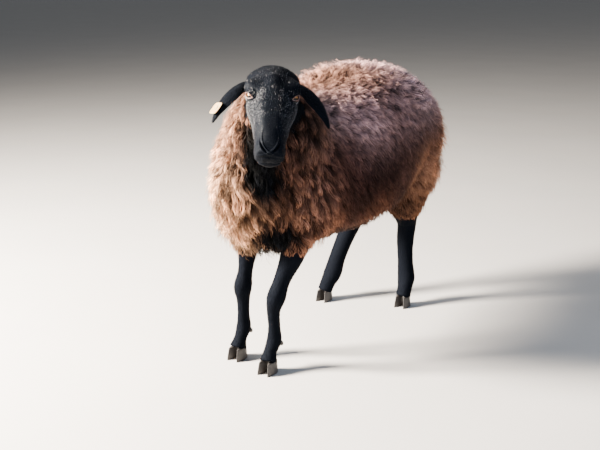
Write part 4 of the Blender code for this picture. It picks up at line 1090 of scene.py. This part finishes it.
def lashes(name, side):
    """The upper lid's lashes: hairs from the lid's edge that run out and bend down as 0.35 t^2."""
    draw = np.random.default_rng(SEED + 70 + side)
    count = 46
    a = np.sort(draw.uniform(0.12, 0.88, count)) * np.pi
    u = LID_HALF_LONG * np.cos(a)
    v = LID_UPPER_HIGH * np.sin(a) ** 1.6 + 0.0008
    w = np.sqrt(LID_RADIUS**2 - u**2 - v**2)
    root = np.stack([u, v, w], axis=1)
    fan = np.stack([u * 24.0, np.full(count, 0.35), np.ones(count)], axis=1)
    way = unit(fan + draw.normal(0, 0.12, (count, 3)))
    t = np.linspace(0.0, 1.0, 5)[None, :, None]
    length = draw.uniform(0.006, 0.011, count)[:, None, None]
    centres = root[:, None] + way[:, None] * t * length + np.array((0.0, -0.35, 0.0)) * t**2 * length
    centres = carried(carried(centres, eye_frame(side)), HEAD_FRAME)
    radii = np.full((count, 1), 0.00012) * np.array((1.0, 1.0, 0.8, 0.5, 0.2))
    tints = np.tile(BLACK_HAIR, (count, 1))
    patches = np.stack([0.305 + 0.09 * (side > 0) + 0 * a, 0.36 + 0.02 * a], axis=1)
    return strand_piece(name, centres, radii, tints, np.tile(t[..., 0], (count, 1)), patches)


def eye_piece(name, side):
    """An eyeball: a sphere with the clear cornea raised by 1 mm e^-(r / 6.5 mm)^2 over the iris. Its gaze
    UV is the place across the eye in half centimetres."""
    rings, sides = 64, 72
    polar = np.pi * crowded(rings, ((0.0, 0.25, 2.0),))
    polar = polar[1:-1]
    turn = np.linspace(0, 2 * np.pi, sides, endpoint=False)
    flat = np.sin(polar)[:, None] * EYE_RADIUS
    bulge = 0.0010 * np.exp(-((flat / 0.0065) ** 2)) * (np.cos(polar)[:, None] > 0)
    radius = EYE_RADIUS + bulge
    grid = np.stack(
        [
            radius * np.sin(polar)[:, None] * np.cos(turn)[None],
            radius * np.sin(polar)[:, None] * np.sin(turn)[None],
            radius * np.cos(polar)[:, None] * np.ones_like(turn)[None],
        ],
        axis=-1,
    )
    points, triangles, _ = grid_arrays(grid)
    gaze = points[triangles.ravel()][:, :2] / 0.005
    gaze[points[triangles.ravel()][:, 2] < 0] = 9.0
    placed = carried(carried(points, eye_frame(side, GAZE)), HEAD_FRAME) + SHIFT
    return new_piece(name, placed, triangles, {"gaze": gaze})


def claw_piece(name, rows, side):
    """A claw: at each height an outline flat inside and bowed outside, narrowing to the toe, growing to the
    sole, with growth rings as a low sine of the height."""
    foot = rows[-1]
    height = np.concatenate([np.linspace(CLAW_TOP, 0.0035, 26), [0.0015, 0.0]])
    share = (CLAW_TOP - height) / CLAW_TOP
    grow = np.interp(share, (0, 0.45, 0.89, 1.0), (0.0, 0.55, 1.0, 0.94))[:, None]
    turn = np.linspace(0.0, 2 * np.pi, 48, endpoint=False)[None]
    toe = CLAW_LENGTH * (0.50 + 0.12 * grow)
    heel = CLAW_HEEL * (0.90 + 0.10 * grow)
    y = np.where(np.sin(turn) < 0, toe, heel) * np.sin(turn)
    half = CLAW_WIDTH / 2 * (0.88 + 0.12 * grow)
    narrowing = 1 - 0.55 * np.clip(-y / toe, 0, 1) ** 2
    bow = np.where(np.cos(turn) > 0, np.cos(turn), 0.75 * np.cos(turn))
    growth = np.sin(height[:, None] * 2 * np.pi / CLAW_RING + 1.5 * np.sin(turn))
    ridge = 1 + 0.016 * growth * (share[:, None] < 0.88)
    x = side * (half * (1 + bow * narrowing * ridge) + CLAW_CLEFT / 2)
    y = y * ridge
    splay = math.radians(side * TOE_SPLAY)
    grid = np.stack(
        [
            foot[0] + x * math.cos(splay) - y * math.sin(splay),
            foot[1] + x * math.sin(splay) + y * math.cos(splay),
            np.broadcast_to(height[:, None], x.shape),
        ],
        axis=-1,
    )
    points, triangles, _ = grid_arrays(grid)
    return new_piece(name, points + SHIFT, triangles)


def dewclaw_piece(name, rows, side):
    """A dewclaw: a small horn, an ellipsoid drawn out downwards and to the back."""
    ankle = rows[-3]
    polar = np.linspace(0, np.pi, 18)[1:-1][:, None]
    turn = np.linspace(0, 2 * np.pi, 24, endpoint=False)[None]
    down = np.cos(polar)
    grid = np.stack(
        [
            ankle[0] + side * 0.0105 + 0.0065 * np.sin(polar) * np.cos(turn),
            ankle[1] + ankle[4] * 0.86 + 0.0062 * np.sin(polar) * np.sin(turn) - 0.003 * down,
            ankle[2] - 0.008 + 0.0088 * down + 0 * turn,
        ],
        axis=-1,
    )
    points, triangles, _ = grid_arrays(grid)
    return new_piece(name, points + SHIFT, triangles)


def tag_frame():
    """The tag's frame: its plate lies across the right ear, and Z runs out through the ear's back."""
    rows, across, back = ear_rings(EAR_TAG_RINGS)
    at = EAR_TAG_RING
    x, z = across[at], back[at]
    y = np.cross(z, x)
    local = Matrix([[*x, 0], [*y, 0], [*z, 0], [0, 0, 0, 1]]).transposed()
    local.translation = Vector(rows[at, :3] + back[at] * rows[at, 4])
    return HEAD_FRAME @ Matrix.Diagonal((-1.0, 1.0, 1.0, 1.0)) @ local


def rounded_slab(outline, low, high, edge):
    """Rings of a slab whose outline shrinks by edge (1 - sin) as it rounds over at its two faces."""
    t = np.linspace(0, np.pi / 2, 6)
    inset = np.concatenate([edge * (1 - np.sin(t)), edge * (1 - np.cos(t))])
    level = np.concatenate([low + edge * (1 - np.cos(t)), high - edge * (1 - np.sin(t))])
    size = np.abs(outline).max(axis=0)
    shrunk = outline[None] * (1 - inset[:, None, None] / size[None, None])
    grid = np.concatenate([shrunk, np.broadcast_to(level[:, None, None], (*shrunk.shape[:2], 1))], axis=-1)
    inner = [grid[-1] * np.array((s, s, 1.0)) for s in (0.8, 0.5, 0.25)]
    outer = [grid[0] * np.array((s, s, 1.0)) for s in (0.25, 0.5, 0.8)]
    return np.concatenate([np.array(outer), grid, np.array(inner)])


def make_tag():
    """The blank ear tag: a flexible plate with round corners and a low boss, its pin, and the button."""
    place = tag_frame()
    a = np.linspace(0, 2 * np.pi, 96, endpoint=False)
    disc = np.stack([np.cos(a), np.sin(a)], axis=1)
    plate = signed_power(disc, 0.45) * (TAG_HALF_WIDE, TAG_HALF_LONG)
    low = TAG_STANDOFF
    grids = [
        rounded_slab(plate, low, low + TAG_THICK, 0.0007),
        rounded_slab(disc * 0.0062, low + 0.0010, low + TAG_THICK + 0.0009, 0.0005),
        rounded_slab(disc * 0.0085, -TAG_STANDOFF - 0.0022, -TAG_STANDOFF, 0.0007),
        rounded_slab(disc * 0.0022, -TAG_STANDOFF - 0.0010, low + 0.0010, 0.0003),
    ]
    pieces = []
    for k, grid in enumerate(grids):
        points, triangles, _ = grid_arrays(carried(grid, place))
        pieces.append(new_piece(f"tag_part_{k}", points + SHIFT, triangles))
    return joined("ear_tag_detail", pieces)


class Nodes:
    """A small helper that adds shader nodes and links to one material."""

    def __init__(self, name):
        """A new material with its own shader."""
        self.material = bpy.data.materials.new(name)
        self.material.use_nodes = True
        self.tree = self.material.node_tree
        self.shader = self.tree.nodes["Principled BSDF"]

    def node(self, kind, **settings):
        """A node with its inputs, or else its properties, set by name."""
        made = self.tree.nodes.new(kind)
        for key, value in settings.items():
            if key in made.inputs:
                made.inputs[key].default_value = value
            else:
                setattr(made, key, value)
        return made

    def link(self, start, end):
        """Joins an output to an input."""
        self.tree.links.new(start, end)

    def finish(self, roughness=None, **sockets):
        """The material, with the shader's even values set."""
        if roughness is not None:
            self.shader.inputs["Roughness"].default_value = roughness
        for key, value in sockets.items():
            self.shader.inputs[key.replace("_", " ")].default_value = value
        return self.material

    def place(self):
        """Object coordinates."""
        return self.node("ShaderNodeTexCoord").outputs["Object"]

    def noise(self, scale, detail=3.0, rough=0.55, at=None):
        """Noise at the given coordinates, or at the Object coordinates."""
        made = self.node("ShaderNodeTexNoise", Scale=scale, Detail=detail, Roughness=rough)
        self.link(at or self.place(), made.inputs["Vector"])
        return made.outputs["Fac"]

    def stretched(self, source, **settings):
        """The coordinates through a mapping."""
        made = self.node("ShaderNodeMapping", **settings)
        self.link(source, made.inputs["Vector"])
        return made.outputs[0]

    def put(self, key, value):
        """Joins an output to the shader's input of that name."""
        self.link(value, self.shader.inputs[key])

    def paint(self, colour):
        """Gives the surface its colour."""
        self.put("Base Color", colour)

    def spread(self, source, low, high, to_low, to_high):
        """The source's range from low to high, spread over another range."""
        made = self.node("ShaderNodeMapRange")
        for key, value in (("From Min", low), ("From Max", high), ("To Min", to_low), ("To Max", to_high)):
            made.inputs[key].default_value = value
        self.link(source, made.inputs["Value"])
        return made.outputs["Result"]

    def math(self, operation, first, second):
        """One step of arithmetic on numbers or outputs."""
        made = self.node("ShaderNodeMath", operation=operation)
        for socket, value in zip(made.inputs, (first, second)):
            if isinstance(value, (int, float)):
                socket.default_value = value
            else:
                self.link(value, socket)
        return made.outputs[0]

    def mix(self, share, first, second, blend="MIX"):
        """Mixes two colours by a share."""
        made = self.node("ShaderNodeMix", data_type="RGBA", blend_type=blend)
        sockets = (made.inputs[0], made.inputs[6], made.inputs[7])
        for socket, value in zip(sockets, (share, first, second)):
            if isinstance(value, (int, float)):
                socket.default_value = value
            elif isinstance(value, tuple):
                socket.default_value = (*value, 1.0)
            else:
                self.link(value, socket)
        return made.outputs[2]

    def bump(self, height, distance, strength=0.6, below=None):
        """A bump of the surface, on top of another if one is given."""
        made = self.node("ShaderNodeBump", Strength=strength, Distance=distance)
        self.link(height, made.inputs["Height"])
        if below:
            self.link(below, made.inputs["Normal"])
        return made.outputs["Normal"]

    def attribute(self, key, output="Color"):
        """What the mesh stores under the key."""
        return self.node("ShaderNodeAttribute", attribute_name=key).outputs[output]


def wool_material():
    """Wool: darker towards the root as painted shade deep in the fleece, its own colour along the lock, paler
    at the tip, partly faded by the sun and partly painted light, uneven from hair to hair and in broad streaks
    down the sides, with a fine fibre bump."""
    m = Nodes("wool")
    tint = m.attribute("tint")
    tip = m.attribute("tip", "Fac")
    fine = m.noise(900.0, 2.0)
    streak = dict(vector_type="TEXTURE", Rotation=(0.50, 0.0, 0.0), Scale=(0.035, 0.035, 0.13))
    broad = m.noise(1.0, 3.0, 0.55, m.stretched(m.place(), **streak))
    # Painted shade: the colour falls to 0.12 of itself towards the root, deep in the fleece where shade falls
    shade = m.spread(tip, 0.10, 0.85, 0.12, 1.0)
    shade = m.math("MULTIPLY", shade, m.spread(fine, 0.3, 0.7, 0.78, 1.22))
    shade = m.math("MULTIPLY", shade, m.spread(broad, 0.3, 0.7, 0.70, 1.34))
    base = m.mix(1.0, tint, shade, "MULTIPLY")
    # Up to half again paler at the tip: partly the wool's sun-faded tips, partly painted light on the lit tips
    bleached_and_lit = m.mix(1.0, base, (1.50, 1.42, 1.28), "MULTIPLY")
    colour = m.mix(m.spread(tip, 0.55, 1.0, 0.0, 1.0), base, bleached_and_lit)
    m.paint(colour)
    m.put("Normal", m.bump(m.noise(1400.0, 2.0), 0.0006, 0.5))
    return m.finish(0.80, Specular_IOR_Level=0.06)


def hair_material(name, roughness, shine):
    """Short black hair with a soft bluish sheen, and pale hairs that are painted glints of light."""
    m = Nodes(name)
    tint = m.attribute("tint")
    fine = m.noise(1500.0, 2.0)
    m.paint(m.mix(1.0, tint, m.spread(fine, 0.3, 0.7, 0.7, 1.3), "MULTIPLY"))
    return m.finish(roughness, Specular_IOR_Level=shine, Specular_Tint=(0.55, 0.80, 1.0, 1.0))


def skin_material():
    """The skin under the coat: black under short hair, whose bump runs in streaks along the lie, and the
    coat's colour darkened as painted shade in the gaps between the locks; bare and moist black at the nose."""
    m = Nodes("skin")
    tint = m.attribute("tint")
    lie = m.node("ShaderNodeUVMap", uv_map="lie").outputs["UV"]
    hairs = m.noise(1.0, 3.0, 0.6, m.stretched(lie, Scale=(900.0, 150.0, 1.0)))
    m.paint(m.mix(1.0, tint, m.spread(hairs, 0.3, 0.7, 0.55, 1.45), "MULTIPLY"))
    bare = m.attribute("bare", "Fac")
    grain = m.bump(m.noise(420.0, 3.0), 0.0006, 0.45)
    m.put("Normal", m.bump(hairs, 0.0009, 0.85, grain))
    m.put("Roughness", m.spread(bare, 0.0, 1.0, 0.42, 0.26))
    shine = m.spread(m.attribute("dull", "Fac"), 0.0, 1.0, 0.014, 0.0)
    m.put("Specular IOR Level", shine)
    return m.finish(None, Specular_Tint=(0.72, 0.88, 1.0, 1.0))


def lid_material():
    """The lids' edge: dark, moist skin that shows a little pink-brown."""
    m = Nodes("lid_edge")
    spots = m.noise(300.0, 2.0)
    m.paint(m.mix(m.spread(spots, 0.35, 0.65, 0.0, 1.0), (0.060, 0.032, 0.028), (0.230, 0.120, 0.098)))
    m.put("Normal", m.bump(m.noise(900.0, 2.0), 0.0003, 0.4))
    return m.finish(0.30)


def eye_material():
    """The eye: an amber-brown iris with fine rays and a dark rim, a level oblong pupil, and a dark ball."""
    m = Nodes("eye")
    gaze = m.node("ShaderNodeUVMap", uv_map="gaze").outputs["UV"]
    parts = m.node("ShaderNodeSeparateXYZ")
    m.link(gaze, parts.inputs[0])
    x, y = parts.outputs["X"], parts.outputs["Y"]
    far = m.math("SQRT", m.math("ADD", m.math("MULTIPLY", x, x), m.math("MULTIPLY", y, y)), 0.0)
    angle = m.math("ARCTAN2", y, x)
    ring = m.node("ShaderNodeCombineXYZ")
    m.link(m.math("MULTIPLY", m.math("SINE", angle, 0.0), 9.0), ring.inputs["X"])
    m.link(m.math("MULTIPLY", m.math("COSINE", angle, 0.0), 9.0), ring.inputs["Y"])
    m.link(far, ring.inputs["Z"])
    rays = m.spread(m.noise(1.0, 4.0, 0.6, ring.outputs[0]), 0.35, 0.65, 0.0, 1.0)
    iris = m.mix(rays, (0.085, 0.032, 0.008), (0.270, 0.120, 0.030))
    iris = m.mix(m.spread(far, 1.15, 1.75, 0.0, 1.0), iris, (0.030, 0.014, 0.008))
    white = m.mix(m.spread(far, 1.80, 2.00, 0.0, 1.0), iris, (0.045, 0.030, 0.024))
    wide = m.math("POWER", m.math("ABSOLUTE", m.math("DIVIDE", x, 1.25), 0.0), 3.0)
    high = m.math("POWER", m.math("ABSOLUTE", m.math("DIVIDE", y, 0.60), 0.0), 3.0)
    slot = m.spread(m.math("ADD", wide, high), 0.85, 1.15, 1.0, 0.0)
    m.paint(m.mix(slot, white, (0.002, 0.002, 0.003)))
    return m.finish(0.08, Specular_IOR_Level=0.12, Coat_Weight=0.30, Coat_Roughness=0.03, IOR=1.38)


def horn_material():
    """Claw horn: dark grey, banded across by growth, with fine lines down it and dust on it."""
    m = Nodes("horn")
    place = m.place()
    parts = m.node("ShaderNodeSeparateXYZ")
    m.link(place, parts.inputs[0])
    bands = m.node("ShaderNodeTexWave", Scale=90.0, Distortion=2.5, Detail=2.0, bands_direction="Z")
    m.link(place, bands.inputs["Vector"])
    banded = m.spread(bands.outputs["Fac"], 0.2, 0.8, 0.0, 1.0)
    dark = m.mix(banded, (0.007, 0.006, 0.006), (0.020, 0.017, 0.016))
    low = m.spread(parts.outputs["Z"], 0.0, 0.018, 0.30, 0.02)
    dust = m.math("MULTIPLY", low, m.spread(m.noise(120.0), 0.35, 0.65, 0.2, 1.0))
    m.paint(m.mix(dust, dark, (0.080, 0.066, 0.054)))
    lines = m.noise(1.0, 3.0, 0.5, m.stretched(place, Scale=(900.0, 900.0, 60.0)))
    m.put("Normal", m.bump(lines, 0.0004, 0.5))
    m.put("Roughness", m.spread(m.noise(150.0), 0.3, 0.7, 0.38, 0.62))
    return m.finish()


def tag_material():
    """Pale yellow flexible plastic, weathered paler in patches, with a little dirt in fine scratches."""
    m = Nodes("tag")
    patch = m.noise(140.0, 3.0)
    colour = m.mix(m.spread(patch, 0.35, 0.65, 0.0, 1.0), (0.320, 0.205, 0.090), (0.380, 0.270, 0.140))
    dirt = m.spread(m.noise(520.0, 4.0), 0.60, 0.75, 0.0, 0.45)
    m.paint(m.mix(dirt, colour, (0.260, 0.190, 0.110)))
    m.put("Normal", m.bump(m.noise(800.0, 2.0), 0.0002, 0.4))
    m.put("Roughness", m.spread(patch, 0.3, 0.7, 0.36, 0.52))
    return m.finish(None, Subsurface_Weight=0.12, Subsurface_Scale=0.004, Specular_IOR_Level=0.15)


def floor_material():
    """A plain pale floor with a faint unevenness."""
    m = Nodes("floor")
    m.paint(m.mix(m.noise(2.0, 2.0), (0.34, 0.333, 0.323), (0.38, 0.373, 0.362)))
    return m.finish(0.85)


def coloured(skin, skin_data):
    """Stores the skin's colours: black under the short hair, under the locks the coat's colour darkened as
    painted shade in the gaps between them, where the nose is bare, and how dull the skin is, along the line of
    the mouth and below the head."""
    points = skin_data[0]
    grown = wool_share(points)[:, None]
    # Under the locks the coat's colour at 0.12 of itself: painted shade in the gaps between the locks
    tint = BLACK_HAIR * (1 - grown) + coat_colour_and_shade(points) * 0.12 * grown**4
    local = returned(points, HEAD_FRAME)
    bare = step_up(-local[:, 1], 0.213, 0.219) * (1 - step_up(np.abs(local[:, 0]), 0.013, 0.020))
    bare *= step_up(local[:, 2], -0.020, -0.012) * (points[:, 2] > HEAD_FLOOR)
    set_values(skin.data, "tint", tint)
    set_values(skin.data, "bare", bare)
    line = np.exp(-(((local[:, 2] - mouth_level(local[:, 1])) / 0.0036) ** 2))
    mouth = line * (local[:, 1] < MOUTH_CORNER)
    set_values(skin.data, "dull", np.where(points[:, 2] > HEAD_FLOOR, mouth, 0.85))


def dress(obj, material, nodes=()):
    """Gives a piece its material, the body that it rides on and the nodes that it stands for."""
    obj.data.materials.clear()
    obj.data.materials.append(material)
    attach(obj, "root")
    if nodes:
        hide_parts(*nodes)


def make_floor():
    """A wide square of floor at the height of the soles."""
    points = FLOOR_REACH * np.array([(-1, -1, 0), (1, -1, 0), (1, 1, 0), (-1, 1, 0)])
    floor = new_piece("floor", points, np.array([(0, 1, 2), (0, 2, 3)]), smooth=False)
    floor.data.materials.append(floor_material())


def way_to(azimuth, elevation):
    """The way from the animal towards an azimuth round it and an elevation, in degrees."""
    a, e = math.radians(azimuth), math.radians(elevation)
    return Vector((math.sin(a) * math.cos(e), -math.cos(a) * math.cos(e), math.sin(e)))


def stand_off(name, data, way, distance, aim):
    """The object of a light or a camera: at a distance from the aim along the way, and facing the aim."""
    made = bpy.data.objects.new(name, data)
    made.location = aim + way * distance
    made.rotation_mode = "QUATERNION"
    made.rotation_quaternion = (-way).to_track_quat("-Z", "Y")
    bpy.context.scene.collection.objects.link(made)
    return made


def make_lights():
    """A warm soft key from the viewer's left, a weak cool fill from the right, one from behind, and the
    room."""
    for name, turn, elevation, distance, size, power, colour in LIGHTS:
        data = bpy.data.lights.new(name, "AREA")
        data.shape = "SQUARE"
        data.size = size
        data.energy = power
        data.color = colour
        stand_off(name, data, way_to(CAMERA_AZIMUTH + turn, elevation), distance, Vector(LIGHT_AIM))
    world = bpy.data.worlds.new("room")
    bpy.context.scene.world = world
    world.use_nodes = True
    light = world.node_tree.nodes["Background"]
    light.inputs["Color"].default_value = (0.90, 0.94, 1.0, 1.0)
    light.inputs["Strength"].default_value = 0.25


def make_camera():
    """The camera where the photograph's was: along the fitted line, level, with no shift."""
    a = math.radians(CAMERA_AZIMUTH)
    aim = Vector((math.cos(a) * CAMERA_ASIDE, math.sin(a) * CAMERA_ASIDE, CAMERA_AIM_HEIGHT))
    aim += Vector(SHIFT)
    data = bpy.data.cameras.new("camera")
    data.lens = LENS_MM
    data.sensor_width = 36.0
    data.clip_end = 100.0
    way = way_to(CAMERA_AZIMUTH, CAMERA_ELEVATION)
    bpy.context.scene.camera = stand_off("camera", data, way, CAMERA_DISTANCE, aim)


def main():
    """Makes and dresses every piece, then adds the floor, the lights and the camera."""
    skin = make_skin()
    skin_data = skin_arrays(skin)
    coloured(skin, skin_data)
    hair, leg_hair = hair_material("short_hair", 0.36, 0.05), hair_material("leg_hair", 0.70, 0.004)
    horn, wool = horn_material(), wool_material()
    replaced = ["head", "ear_left", "ear_right", "neck", "torso", "fat_tail"]
    replaced += ["forearm_left", "forearm_right", "thigh_left", "thigh_right"]
    replaced += [name.replace("_", "_leg_") for name in LEGS]
    dress(skin, skin_material(), replaced)
    for piece in make_wool(skin_data):
        dress(piece, wool)
    dress(make_hair("hair_head", skin_data, HEAD_HAIR_SPACING, True), hair)
    dress(make_hair("hair_legs", skin_data, LEG_HAIR_SPACING, False), leg_hair)
    eye, lid = eye_material(), lid_material()
    for word, side in (("left", 1), ("right", -1)):
        dress(eye_piece(f"eyeball_{word}", side), eye, [f"eye_{word}"])
        dress(lid_rim(f"lid_edge_{word}", side), lid)
        dress(lashes(f"lashes_{word}", side), hair)
    for name, rows in LEGS.items():
        outward = 1 if rows[-1, 0] > 0 else -1
        for word, side in (("outer", outward), ("inner", -outward)):
            node = name.replace("_", "_claw_") + "_" + word
            dress(claw_piece(node + "_horn", rows, side), horn, [node])
            dress(dewclaw_piece(f"dewclaw_{name}_{word}", rows, side), horn)
    dress(make_tag(), tag_material(), ["ear_tag"])
    make_floor()
    make_lights()
    make_camera()


main()
